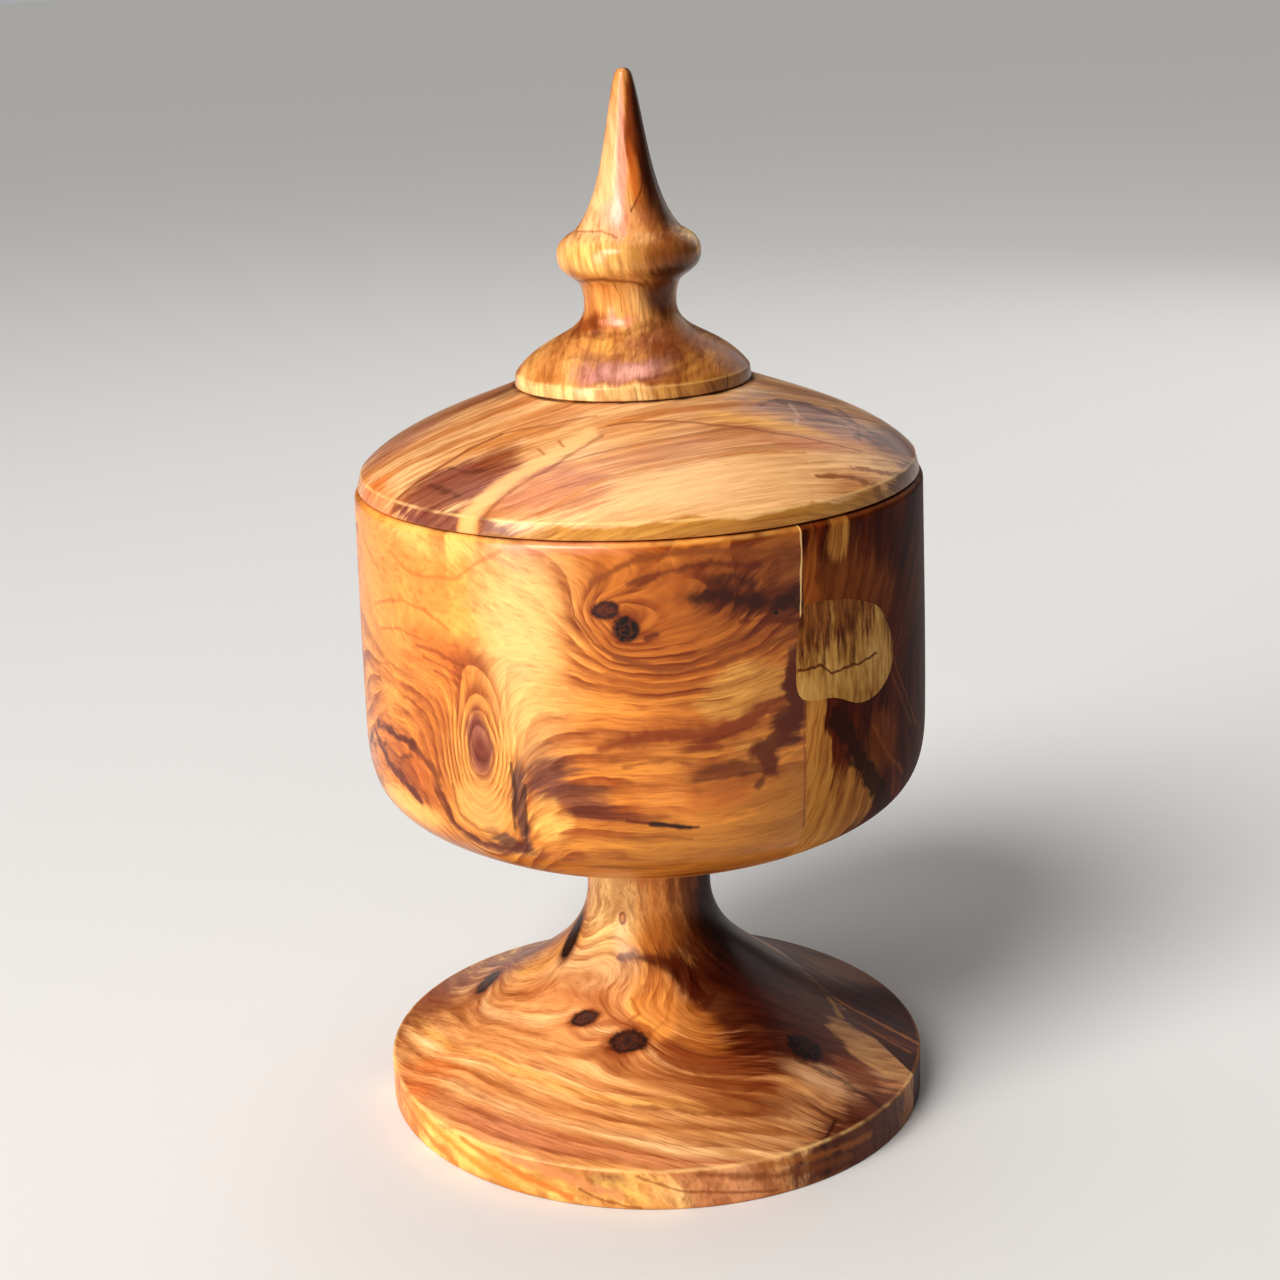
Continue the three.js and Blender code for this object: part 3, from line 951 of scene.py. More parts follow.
@dataclass
class Foot:
    """The flared foot with its stem, and the board glued to its right side."""

    radius: float = 75.5
    edge: float = 11.2
    arris: float = 0.6
    flare: Point = (29.5, 0, 38)
    neck: Point = (17.2, 0, 60.5)
    head: Point = (20.5, 0, 77.7)
    tenon: float = 11
    tenon_top: float = 83.7
    glue: GlueLine = GlueLine(40.7, 0.03)

    def outline(self) -> Outline:
        """The turned line of the foot and the stem."""
        rounding = self.arris
        line = Outline(0, 0).line(self.radius - rounding, 0)
        line.round(self.radius - rounding, rounding, rounding, -90, 0)
        line.round(self.radius - rounding, self.edge - rounding, rounding, 0, 69)
        line.curve(self.flare[0], self.flare[2], Bend(159, 140, 0.36, 0.32), 28)
        line.curve(self.neck[0], self.neck[2], Bend(140, 90, 0.39, 0.35), 18)
        line.curve(self.head[0], self.head[2], Bend(90, 62), 12)
        return line.line(self.tenon, self.head[2]).line(self.tenon, self.tenon_top).line(0, self.tenon_top)

    def main_wood(self) -> Wood:
        """The striped, knotty blank that the foot and the stem are turned from."""
        edge = Wall(1.32)
        small_knot = Knot(Place((-8.8, -15.2, 55.5), (0.9, 2, 1.5)), TAN, PEACH, 1)
        return Wood(
            name="foot_wood", slot="foot_wood", wall=edge,
            rings=Rings((0.05, -0.06, 0.6), 2.6, (20, 35, 0), 4, 0.6), fibre=(0.72, -0.69, 0),
            tones=("AC6E42", "CC8C56", "E2A66A", "EEB87C", "F8CE98"),
            ring_strength=0.6, ring_tint=(0.55, 0.33, 0.2), fleck_strength=0.4, coat=0.38, seed=(11, 3, 40),
            hills=marks(Hill, in_plan, FOOT_HILLS),
            bands=tuple(Band(*row) for row in FOOT_BANDS),
            patches=marks(Patch, in_plan, FOOT_PATCHES) + marks(Patch, edge.spot, FOOT_EDGE_PATCHES),
            streaks=marks(Streak, plan_route, FOOT_STREAKS) + marks(Streak, edge.route, FOOT_EDGE_STREAKS),
            knots=(*marks(Knot, in_plan, FOOT_KNOTS), small_knot),
            # A painted highlight along the foot's upper arris, and painted shade along its bottom edge where it meets
            # the floor.
            edge_highlights_and_shade=(PaintedEdgeShading(75.1, 11.1, 0.9, CREAM, 0.55), PaintedEdgeShading(75.5, 0.3, 1.2, OCHRE, 0.4)),
        )

    def side_wood(self) -> Wood:
        """The dark board glued to the right."""
        return Wood(
            name="foot_side_wood", slot="foot_side_wood", wall=Wall(1.32),
            rings=Rings((0.2, 0.5, 0.15), 2.4, None, 4, 1), fibre=(0.92, -0.37, 0),
            tones=("2C0E04", "4A1A08", "64280E", "824018", "A86A34"), ring_strength=0.5, coat=0.3, seed=(61, 13, 7),
            patches=(Patch(in_plan(60, 30, 20, 10, 60), OCHRE, 0.6),),
            streaks=(
                Streak(plan_route((50, -4), (62, -8), (75, -14)), 0.7, TAN, 0.7),
                Streak(plan_route((56, -13), (70, -20)), 0.5, OCHRE, 0.6),
            ),
            # A painted highlight along the side board's upper arris.
            edge_highlights_and_shade=(PaintedEdgeShading(75.2, 11.1, 0.9, TAN, 0.5),),
        )

    def build(self) -> list[bpy.types.Object]:
        """Builds both pieces of the foot.

        Returns:
            The turned foot and its side board.
        """
        pieces = []
        for node, side, wood in (
            ("foot_main", Side.NEAR, self.main_wood()), ("foot_side_board", Side.FAR, self.side_wood()),
        ):
            piece = finished(f"{node}_fine", self.glue.keep(self.outline().spun(), side))
            pieces.append(fitted(piece, wood, "base", node))
        return pieces


# ---------------------------------------------------------------- the bowl


# The bowl's figure, with a painted highlight band, painted shade low down and painted shade on the right, on its
# wall: (azimuth, height, across, up, lean) or corners of azimuth and height, then the look.
FRONT_HILLS = (
    ((2, 158, 17, 15, 5), 10),
    ((-36.5, 122, 6.8, 18), 15),
    ((-37, 96, 13, 30), 9),
    ((-106, 122, 28, 34), 14),
    ((-49, 183, 16, 14), -7),
    ((-54, 146, 18, 11), 6),
)
FRONT_PATCHES = (
    ((-62, 158, 26, 24), HONEY, 0.85, 0.6, 0.3),
    ((-46, 176, 14, 4.8), "F6C474", 0.6, 0.6, 0.3),
    # A painted highlight: the soft upright gloss band on the left of the bowl.
    ((-26, 152, 10, 27), CREAM, 0.6, 0.8, 0.3),
    ((-14, 142, 9, 15), HONEY, 0.55, 0.8, 0.6),
    ((-16, 177, 12, 2.4), PINK, 0.6, 0.6, 0.3),
    ((-62, 142, 17, 7, 4), TAN, 0.45, 0.8, 1.0),
    ((-46, 145, 8, 5, 4), ORANGE, 0.6, 0.8, 0.7),
    ((4, 158, 20, 18), "BC6E2A", 0.8, 0.6, 0.4),
    ((9, 124, 19, 8), "BE7A34", 0.6, 0.8, 0.6),
    ((17, 166, 15, 12, -5), "8A4618", 0.75, 0.8, 0.7),
    ((18, 161.5, 12, 4.2, -9), RED_BROWN, 0.85, 0.6, 0.9),
    ((13, 152, 12, 3, 10), BROWN, 0.5, 0.8, 1.0),
    ((15, 139, 9, 6.4, 15), KHAKI, 0.95, 0.22, 0.22),
    ((12, 141, 6, 4, 18), PALE_GOLD, 0.4, 0.6, 0.4),
    ((-2, 127.5, 10, 3), TAN, 0.65, 0.7, 0.9),
    ((25.2, 138, 2.6, 8, 10), RED_BROWN, 0.92, 0.25, 0.3),
    ((24, 129, 4, 6, 10), RED_BROWN, 0.9, 0.4, 0.5),
    ((12, 130, 10, 2.2, 22), RUST, 0.85, 0.4, 0.5),
    ((13, 119.8, 11, 2.2, 4), RED_BROWN, 0.75, 0.5, 0.6),
    ((16, 124.5, 3.2, 3), KHAKI, 0.75, 0.5, 0.3),
    ((23, 110, 10, 11), "BC7E32", 0.75, 0.5, 0.5),
    # Painted shade low on the bowl's front, where it curves under.
    ((6, 98, 28, 10), "BA7A30", 0.75, 0.7, 0.5),
    ((-1, 115, 5, 8), HONEY, 0.6, 0.5, 0.5),
    ((-8, 127, 5, 5), RUST, 0.35, 0.8, 0.9),
    ((-22, 119, 4.8, 4.2), "7E4A3C", 0.85, 0.6, 0.7),
    ((-16, 113.5, 9, 4.2, -12), "7E4838", 0.82, 0.7, 0.9),
    ((-6, 108.5, 8, 1.8, -8), RUST, 0.6, 0.7, 0.9),
    ((-37, 116, 8, 19), PALE_GOLD, 0.55, 0.5, 0.2),
    ((-36, 138.5, 3.6, 5.5), TAN, 0.55, 0.7, 0.4),
    ((-37, 107, 5, 7), "E2A662", 0.6, 0.6, 0.4),
    ((-36.6, 124.4, 2.9, 10.5), "925244", 0.92, 0.35, 0.2),
    ((-36.5, 124, 0.9, 5), "9C5A44", 0.6, 0.7, 0.5),
    ((-28, 111, 1.6, 11, 4), "6C463E", 0.85, 0.5, 0.4),
    ((-30.5, 99, 5, 2.2, -12), "6C463E", 0.8, 0.5, 0.5),
    ((-61, 113, 11, 6, -10), ORANGE, 0.5, 0.7, 0.8),
    ((-59, 111, 9, 3, -14), RUST, 0.6, 0.9, 1.3),
    ((-60, 120.4, 4, 1.1), RED_BROWN, 0.7, 0.7, 0.8),
    ((-60, 101, 12, 4.5), YELLOW, 0.6, 0.5, 0.2),
    # Painted shade along the bottom of the bowl, where it curves under.
    ((-50, 88, 40, 6), "C0843A", 0.6, 0.8, 0.3),
    ((-22, 106.5, 3.6, 5.8, 25), PALE_GOLD, 0.8, 0.4, 0.25),
    ((-85, 107, 12, 5, 10), MAUVE, 0.7, 0.6, 0.6),
    ((16.5, 115, 0.8, 1.8, -20), RED_BROWN, 0.75, 0.5, 0.3),
)
FRONT_STREAKS = (
    (((-17, 166), (-16.3, 160), (-12.5, 153), (-6, 148)), 0.3, BROWN, 0.8, 0.8, 0.2),
    (((5, 163.5), (12, 163.2), (19, 161), (27, 158.5)), 1.5, DARK_BROWN, 0.85, 0.8, 0.7),
    (((8, 167), (13, 168), (16, 166)), 1.0, DARK_BROWN, 0.6, 0.9, 0.9),
    (((14, 156.8), (20, 156), (27, 154.5)), 0.8, RED_BROWN, 0.7, 0.9, 0.7),
    (((-3, 154.3), (-1.6, 154.8)), 0.8, RED_BROWN, 0.8, 0.6, 0.3),
    (((21, 157.5), (21.3, 157.4)), 0.5, BARK, 0.95, 0.3, 0.1),
    (((25.6, 146), (24.6, 138), (25.5, 131), (22, 126.5), (17.5, 123.5), (19, 119.5)), 2.9, RED_BROWN, 0.9, 0.4, 0.3),
    (((22, 134), (14, 131), (6, 129.5), (-2, 130.5), (-8, 128.5)), 1.4, RUST, 0.75, 0.8, 0.7),
    (((-13, 168), (-5, 173.5), (5, 175.3), (15, 174), (25, 171.5)), 0.75, BROWN, 0.8, 0.9, 0.6),
    (((-6, 167.5), (1, 170.8), (9, 171.6), (18, 169.8)), 0.75, RED_BROWN, 0.7, 0.9, 0.7),
    (((-9, 149.5), (-1, 146.5), (9, 146.3), (18, 149), (25.5, 151.5)), 0.8, BROWN, 0.8, 0.9, 0.6),
    (((-13, 146), (-4, 142.6), (5, 142.4)), 0.6, OCHRE, 0.75, 0.9, 0.6),
    (((-12, 127), (-4, 130), (4, 128.6), (10, 125)), 0.9, RUST, 0.7, 0.9, 0.7),
    (((-8, 122), (0, 123.5), (7, 121)), 0.5, BROWN, 0.55, 0.9, 0.7),
    (((-8, 108.2), (-3, 107), (1, 106), (5.2, 105.8)), 0.35, RED_BROWN, 0.8, 0.8, 0.25),
    (((-3.4, 106.9), (0, 106.2), (3.4, 105.9)), 0.62, "2A0E06", 0.9, 0.7, 0.3),
    (((-12, 103.5), (-4, 103.6), (4, 102.8)), 0.4, BROWN, 0.5, 0.8, 0.7),
    (((-80, 110), (-75, 115), (-70, 119), (-64, 120.5), (-55, 119.4)), 0.9, RED_BROWN, 0.9, 0.9, 0.9),
    (((-73, 117), (-69, 112.5), (-64, 110), (-59, 108), (-54, 105.5)), 1.1, RED_BROWN, 0.9, 0.8, 0.9),
    (((-70, 113), (-66, 116), (-60, 114), (-55, 116)), 0.6, RED_BROWN, 0.6, 0.9, 0.9),
    (
        ((-55, 119.4), (-49, 115), (-47, 108), (-45, 102), (-40, 97.5), (-34, 95.6), (-29, 98)),
        1.3, RED_BROWN, 0.75, 0.9, 0.6,
    ),
    (((-47, 109), (-44, 101), (-38, 97), (-31, 97), (-28.5, 101)), 0.6, RED_BROWN, 0.75, 0.8, 0.5),
    (((-44, 112), (-42.5, 105), (-38.5, 101), (-34, 101)), 0.45, BROWN, 0.6, 0.8, 0.5),
    (((-30, 121), (-29, 113), (-30, 104)), 0.5, DARK_BROWN, 0.7, 0.8, 0.5),
    (((-27, 116), (-26.8, 108), (-28, 100)), 0.45, DARK_BROWN, 0.65, 0.8, 0.5),
    (((-60, 169), (-54, 166), (-48, 165.3), (-40, 167), (-30, 175)), 0.5, OCHRE, 0.5, 0.9, 0.4),
    (((-68, 153), (-62, 156), (-56, 157.5), (-49, 157), (-43, 153)), 0.45, OCHRE, 0.55, 0.9, 0.4),
    (((-66, 147.5), (-58, 150), (-50, 149)), 0.35, OCHRE, 0.6, 0.8, 0.3),
    (((-70, 137), (-62, 139), (-52, 137.5)), 0.4, OCHRE, 0.6, 0.9, 0.5),
    (((-52, 147), (-46, 146.2), (-39, 144.5)), 0.5, RUST, 0.6, 0.9, 0.5),
    (((-50, 144.3), (-44, 143), (-40, 141.5)), 0.5, RUST, 0.6, 0.9, 0.5),
    (((-47, 141.3), (-41, 139.8)), 0.45, RUST, 0.5, 0.9, 0.5),
    (((-78, 176), (-74, 168), (-66, 163)), 0.4, OCHRE, 0.6, 0.8, 0.3),
    (((26.6, 178), (26.5, 160), (26.8, 143)), 0.22, CREAM, 0.9, 0.5, 0.2),
    (((26.9, 134), (26.6, 118), (26.9, 100)), 0.3, BROWN, 0.6, 0.5, 0.3),
)
BACK_PATCHES = (
    # Dark wood and painted shade on the side turned away from the light.
    ((68, 130, 14, 60), DARK_BROWN, 0.6, 0.6),
    ((165, 130, 42, 60), "B4692C", 0.75, 0.6, 0.5),
    ((-150, 130, 30, 60), "D08A3C", 0.7, 0.6, 0.5),
    ((120, 150, 12, 14), OCHRE, 0.6, 0.4, 0.5),
    ((36, 161, 9, 13), "9A5826", 0.8, 0.6, 0.6),
    ((44, 158, 7, 8), "94521F", 0.85, 0.5, 0.5),
    ((47, 116, 6, 9, -40), BROWN, 0.85, 0.4, 0.5),
    ((35, 97, 8, 17, -32), KHAKI, 0.88, 0.25, 0.35),
    ((29.5, 112, 3.4, 34), KHAKI, 0.95, 0.12, 0.25),
    ((29, 160, 2.2, 16), OCHRE, 0.75, 0.3, 0.3),
    ((35.5, 172.5, 3.2, 5.5), KHAKI, 0.85, 0.4, 0.4),
)
BACK_STREAKS = (
    (((34.5, 128), (38, 119), (44, 107), (52, 97), (58, 92)), 2.6, DARK_BROWN, 0.92, 0.4, 0.5),
    (((46, 150), (52, 132), (60, 116)), 0.5, BROWN, 0.5, 0.9, 0.8),
    (((50, 142), (56, 128), (64, 114)), 0.35, BROWN, 0.6, 0.7, 0.8),
    (((44, 122), (50, 112), (57, 104)), 0.5, OCHRE, 0.4, 0.9, 0.8),
)
BACK_KNOTS = (
    ((128, 126, 4, 4.6), BARK, RED_BROWN, 8),
    ((-160, 146, 3, 3.6), BARK, RUST, 7),
    ((178, 112, 2.4, 3), GREY_BARK, RUST, 5),
)


@dataclass
class Bowl:
    """The bowl, glued from a pale front block and a dark back block, with a patch of filler in its wall."""

    bottom: float = 78.0
    height: float = 99.6
    radius: float = 76.2
    rim_radius: float = 75.3
    rim_rounding: float = 2
    mouth_radius: float = 67.9
    floor: float = 10
    inner_corner: float = 20
    seat_radius: float = 21.1
    socket_radius: float = 11.3
    socket_depth: float = 6.3
    glue: GlueLine = GlueLine(-8.1, 0.02)
    filler_azimuth: float = 39
    filler_height: float = 144
    filler_depth: float = 4.2
    filler_gap: float = 0.05
    filler_outline: tuple[tuple[float, float], ...] = (
        (-18.2, -1.3), (-16.2, 12.3), (-9.5, 13.9), (0.9, 12.1), (11, 7.5), (16.7, -2.3),
        (16, -9.5), (10.2, -14), (2.3, -14.9), (-6.6, -11.4), (-16.6, -9.6),
    )

    def outline(self) -> Outline:
        """The turned line of the bowl."""
        low = self.bottom
        top = low + self.height
        line = Outline(0, low + self.socket_depth).line(self.socket_radius, low + self.socket_depth)
        line.line(self.socket_radius, low).line(self.seat_radius, low)
        line.curve(62, low + 9, Bend(2, 29), 16)
        line.curve(self.radius, low + 34, Bend(29, 90, 0.42, 0.53), 22)
        line.curve(self.rim_radius, top - self.rim_rounding, Bend(90, 91), 10)
        line.round(self.rim_radius - self.rim_rounding, top - self.rim_rounding, self.rim_rounding, 0, 90, 8)
        line.line(self.mouth_radius + 0.6, top)
        line.round(self.mouth_radius + 0.6, top - 0.6, 0.6, 90, 180, 4)
        corner = low + self.floor + self.inner_corner
        line.round(self.mouth_radius - self.inner_corner, corner, self.inner_corner, 0, -90, 16)
        return line.line(0, low + self.floor)

    def filler_prism(self, growth: float) -> bpy.types.Object:
        """The filler's shape, cut straight in from the front of the wall.

        Args:
            growth: How much it is grown on every side but its face.

        Returns:
            A cutting object.
        """
        mesh = bmesh.new()
        corners = [Vector((x, 0, z)) for x, z in self.filler_outline]
        corners = [corner.normalized() * (corner.length + growth) for corner in corners]
        count = len(corners)
        ring = []
        for at in range(count):
            before, here, after, beyond = (corners[(at + step) % count] for step in (-1, 0, 1, 2))
            for step in range(5):
                t = step / 5
                point = here * 2 + (after - before) * t + (before * 2 - here * 5 + after * 4 - beyond) * t**2
                point += (here * 3 - before - after * 3 + beyond) * t**3
                ring.append(mesh.verts.new(point * 0.5))
        face = mesh.faces.new(ring)
        depth = self.filler_depth + growth + 5
        walls = bmesh.ops.extrude_face_region(mesh, geom=[face])["geom"]
        moved = [item for item in walls if isinstance(item, bmesh.types.BMVert)]
        bmesh.ops.translate(mesh, vec=(0, -depth, 0), verts=moved)
        set_in = Vector((0, -(self.radius - self.filler_depth - growth), self.filler_height))
        bmesh.ops.translate(mesh, vec=set_in, verts=mesh.verts)
        turn = Matrix.Rotation(math.radians(self.filler_azimuth), 3, "Z")
        bmesh.ops.rotate(mesh, cent=(0, 0, 0), matrix=turn, verts=mesh.verts)
        bmesh.ops.recalc_face_normals(mesh, faces=mesh.faces)
        return finished("filler_cutter", mesh)

    def front_wood(self) -> Wood:
        """The pale front block with its pair of dark knots and its eye."""
        wall = Wall(1.33)
        spot = wall.spot
        return Wood(
            name="bowl_front_wood", slot="bowl_front_wood", wall=wall,
            rings=Rings((0.02, -0.08, 0.3), 1.9, None, 7, 1.3), fibre=(1, 0.04, 0.05),
            tones=("A85E26", "C87832", "DE903E", "EBA048", "F2B45C"), ring_strength=0.85, coat=0.75,
            ring_tint=(0.45, 0.22, 0.11), seed=(3, 8, 21),
            hills=marks(Hill, spot, FRONT_HILLS),
            calm=(
                spot(-60, 160, 26, 20), spot(-26, 155, 8, 26), spot(-60, 99, 14, 6), spot(20, 103, 26, 16),
                spot(-37, 107, 7, 7), spot(-122, 128, 26, 60),
            ),
            patches=marks(Patch, spot, FRONT_PATCHES), streaks=marks(Streak, wall.route, FRONT_STREAKS),
            knots=(
                Knot(spot(-6.9, 156.8, 2.3, 3.2, 20), BARK, RUST, 4, 1.5),
                Knot(spot(-10.4, 161.4, 2.3, 2.0, 5), "46241E", RUST, 3, 1.5),
            ),
            # A painted highlight along the bowl's rim.
            edge_highlights_and_shade=(PaintedEdgeShading(74.6, 177, 1.2, PALE_GOLD, 0.45),),
        )

    def back_wood(self) -> Wood:
        """The dark red-brown back block, darkened further with painted shade."""
        wall = Wall(1.33)
        spot = wall.spot
        return Wood(
            name="bowl_back_wood", slot="bowl_back_wood", wall=wall,
            rings=Rings((0.32, 0.2, -0.12), 2.0, None, 7, 1.5), fibre=(0.3, -0.1, 0.95),
            # Dark red-brown wood, made darker still as painted shade for the side turned from the light.
            tones=("240800", "481202", "642004", "80380C", "9C541A"), ring_strength=0.5,
            ring_tint=(0.6, 0.35, 0.22), coat=0.1, roughness=0.55, seed=(30, 71, 5),
            hills=(Hill(spot(66, 128, 20, 24), 12), Hill(spot(140, 135, 26, 20), -14)),
            patches=marks(Patch, spot, BACK_PATCHES), streaks=marks(Streak, wall.route, BACK_STREAKS),
            # Its edge mark is a painted highlight along the back block's rim.
            knots=marks(Knot, spot, BACK_KNOTS), edge_highlights_and_shade=(PaintedEdgeShading(74.6, 177, 1.2, OCHRE, 0.35),),
        )

    def build(self) -> list[bpy.types.Object]:
        """Builds the two blocks and the filler.

        Returns:
            The three pieces.
        """
        pieces = []
        pocket = self.filler_prism(self.filler_gap)
        for node, side, wood in (
            ("bowl_front_block", Side.NEAR, self.front_wood()), ("bowl_back_block", Side.FAR, self.back_wood()),
        ):
            piece = finished(f"{node}_fine", self.glue.keep(self.outline().spun(), side))
            combined(piece, pocket, "DIFFERENCE")
            pieces.append(fitted(piece, wood, "base", node))
        filler = finished("bowl_filler_fine", self.outline().spun())
        prism = self.filler_prism(0)
        combined(filler, prism, "INTERSECT")
        for cutter in (pocket, prism):
            bpy.data.objects.remove(cutter)
        pieces.append(fitted(filler, Putty("wood_filler", "filler"), "base", "bowl_filler"))
        return pieces


@dataclass(frozen=True)
class Putty:
    """Pale wood filler, sanded flush, with a drying crack across it."""

    name: str
    slot: str
    per_degree: float = 1.33
    height: float = 143
    # Strokes in its ragged upper edge: azimuth, half width in degrees and rise.
    strokes: tuple[Point, ...] = ((33.6, 1.5, 9), (41.5, 2.6, 7), (46.5, 3.4, 10))

    def material(self) -> bpy.types.Material:
        """Builds the filler's material.

        Returns:
            The material.
        """
        graph = Graph(self.name)
        solid = graph.scaled(graph.add("ShaderNodeTexCoord", {}, "Object"), 1 / MM)
        wall = Wall(self.per_degree)
        across, y, z = wall.unrolled(graph, solid)
        smear = graph.noise(graph.joined(across, y, graph.times(z, 0.2)), 1.6, 4, roughness=0.65)
        cloud = graph.noise(solid, 9, 3)
        tone = graph.math("MULTIPLY_ADD", smear, 0.6, graph.times(cloud, 0.4))
        colour = graph.ramp(
            graph.remap(tone, 0.36, 0.64, smooth_ends=False), ("94602A", "B88440", "CC9A52", "D8A860", "E6BC78")
        )
        feather = graph.math("MULTIPLY_ADD", smear, 20, graph.times(z, -1))
        for azimuth, half, rise in self.strokes:
            beside = graph.math("ABSOLUTE", graph.math("SUBTRACT", across, azimuth * self.per_degree))
            feather = graph.math("ADD", feather, graph.remap(beside, half * self.per_degree, 0, 0, rise))
        wood = graph.remap(feather, 14.5 - self.height, 3 - self.height, 0, 0.95)
        colour = graph.mix(wood, colour, graph.mix(graph.remap(smear, 0.36, 0.66), "5E2A0E", "A4642E"))
        shift = graph.drift(solid, 5, 3)
        flat = graph.vector("MULTIPLY_ADD", shift, (4, 0, 4), graph.joined(across, 0.0, z))
        ground = Ground(graph, solid, flat, flat)
        away = ground.away(wall.route((26, 141.5), (30, 141.8), (34, 139.6), (40, 139.4), (46, 140.6)))
        crack = graph.remap(away, 0.55, 0.15)
        colour = graph.mix(graph.times(crack, 0.85), colour, RED_BROWN)
        height = graph.math("MULTIPLY_ADD", crack, -1.0, graph.times(smear, 0.3))
        bump = graph.add("ShaderNodeBump", {"Strength": 0.5, "Distance": 0.3 * MM, "Height": height})
        return graph.coated(colour, 0.55, 0.15, 0.35, bump)


# ---------------------------------------------------------------- the lid and its finial


# The lid's figure, with painted shade at the right of its rim, seen from above and on its rim band.
LID_BANDS = (
    (60, 98, "EEBE86", 0.9, 2.0), (99, 100.2, OCHRE, 0.4, 0.7), (101, 107, ROSE, 0.4, 1.5),
    (108.5, 109.5, OCHRE, 0.35, 0.6), (110, 116, PEACH, 0.4, 1.5), (117.5, 120.5, TAN, 0.6, 0.8),
    (120.5, 126, PALE_PEACH, 0.5, 1.0), (128, 130, TAN, 0.4, 0.8), (131, 134, TAN, 0.6, 1),
    (134.5, 138, PALE_PEACH, 0.5, 1), (139, 141, TAN, 0.5, 0.9), (150, 162, RUST, 0.5, 3),
)
LID_PATCHES = (
    ((-27, -59, 17, 7, -24), ROSE, 0.75, 0.6, 0.6),
    ((-24, -55, 13, 3, -30), MAUVE, 0.5, 0.7, 0.8),
    ((-33, -35.5, 20, 3.4, -4), TAN, 0.75, 0.5, 0.3),
    ((-49, -45.5, 17, 8.5, -24), "8E5040", 0.9, 0.3, 0.3),
    ((-37, -44, 7, 6, 15), RUST, 0.7, 0.4, 0.3),
    ((-20, -41, 12, 3.6, 14), "F0BC7C", 0.8, 0.5, 0.3),
    ((-60, -29, 9, 4, -8), PALE_PEACH, 0.7, 0.5, 0.3),
    ((45, -22, 21, 12, 18), "AA8070", 0.85, 0.45, 0.4),
    ((45, -22, 9, 6, 20), "805A54", 0.5, 0.8, 0.8),
    # Dark wood and painted shade at the right of the rim.
    ((65, -18, 6, 20, -15), RED_BROWN, 0.8, 0.6, 0.4),
    ((48, -2, 16, 6, 20), "9C6C5A", 0.6, 0.6, 0.5),
    ((40, -42.5, 13, 3, 14), ROSE, 0.7, 0.5, 0.4),
    ((-61, -3, 12, 8, -10), MAUVE, 0.7, 0.6, 0.5),
    ((-34, -3, 4, 9, 28), GREY_BARK, 0.4, 0.7, 0.5),
    ((30, -35.5, 16, 2.8, 4), PALE_GOLD, 0.75, 0.4, 0.3),
    ((50, -51, 10, 3.4, 35), TAN, 0.5, 0.6, 0.5),
)
LID_BAND_PATCHES = (
    ((-70, 180, 10, 5), ORANGE, 0.6, 0.4, 0.4),
    ((-42, 180, 17, 2.4), PURPLE, 0.88, 0.4, 0.4),
    ((-38, 180, 2.5, 2.4), GOLD, 0.8, 0.3, 0.3),
    ((17, 178.9, 48, 2.5), "C8903E", 0.88, 0.2, 0.03),
    # Dark wood and painted shade on the right of the rim band.
    ((66, 180, 12, 3), RED_BROWN, 0.8, 0.4, 0.5),
)
LID_STREAKS = (
    (((-47, -59), (-37, -54.5), (-26, -49), (-14, -42.5)), 2.4, "F0BC7C", 0.75, 0.6, 0.2),
    (((-46, -62.5), (-36, -58), (-25, -53), (-11, -43.5)), 0.6, BROWN, 0.55, 0.8, 0.4),
    (((-63, -37.5), (-54, -36.5), (-44, -33), (-36, -31.5)), 0.6, BROWN, 0.8, 0.8, 0.2),
    (((-36, -31.2), (-24, -34), (-12, -35)), 0.4, BROWN, 0.5, 0.8, 0.3),
    (((-9, -40), (10, -40), (30, -40.2), (44, -39), (54, -37)), 0.4, BROWN, 0.6, 0.8, 0.2),
    (((-27, -43.5), (-26, -46.5)), 0.38, OCHRE, 0.7, 0.7, 0.3),
    (((-21.5, -42.5), (-20.5, -45.5)), 0.38, OCHRE, 0.7, 0.7, 0.3),
    (((-54, -41), (-50, -47), (-47, -51)), 0.6, DARK_BROWN, 0.45, 0.9, 0.9),
    (((-49, -38), (-45, -43), (-40, -46)), 0.6, DARK_BROWN, 0.35, 0.9, 0.9),
    (((38.6, -20), (39.6, -27), (38.2, -33)), 0.45, "E0B8A0", 0.4, 0.8, 0.8),
    (((28, -24), (35, -19), (41, -13.5), (51, -12)), 0.9, KHAKI, 0.5, 0.8, 0.5),
    (((30, -26), (36, -19), (44, -15)), 0.6, DARK_BROWN, 0.45, 0.9, 0.8),
    (((52, -10), (56, -20), (54, -30)), 0.9, DARK_BROWN, 0.5, 0.9, 0.7),
    (((36, -20), (44, -17), (56, -19), (64, -24)), 1.2, DARK_BROWN, 0.5, 0.9, 0.8),
    (((42, -27), (50, -24), (60, -28)), 0.9, DARK_BROWN, 0.45, 0.9, 0.8),
    (((40, -55), (48, -51), (58, -47)), 0.6, BROWN, 0.75, 0.7, 0.6),
    (((50, -47), (60, -41)), 0.6, BROWN, 0.7, 0.7, 0.6),
    (((-28, -66), (-12, -61), (4, -57), (20, -52.5), (38, -47)), 0.5, TAN, 0.55, 0.9, 0.4),
    (((-22, -54), (-4, -50), (14, -45.5)), 0.5, TAN, 0.5, 0.9, 0.5),
)


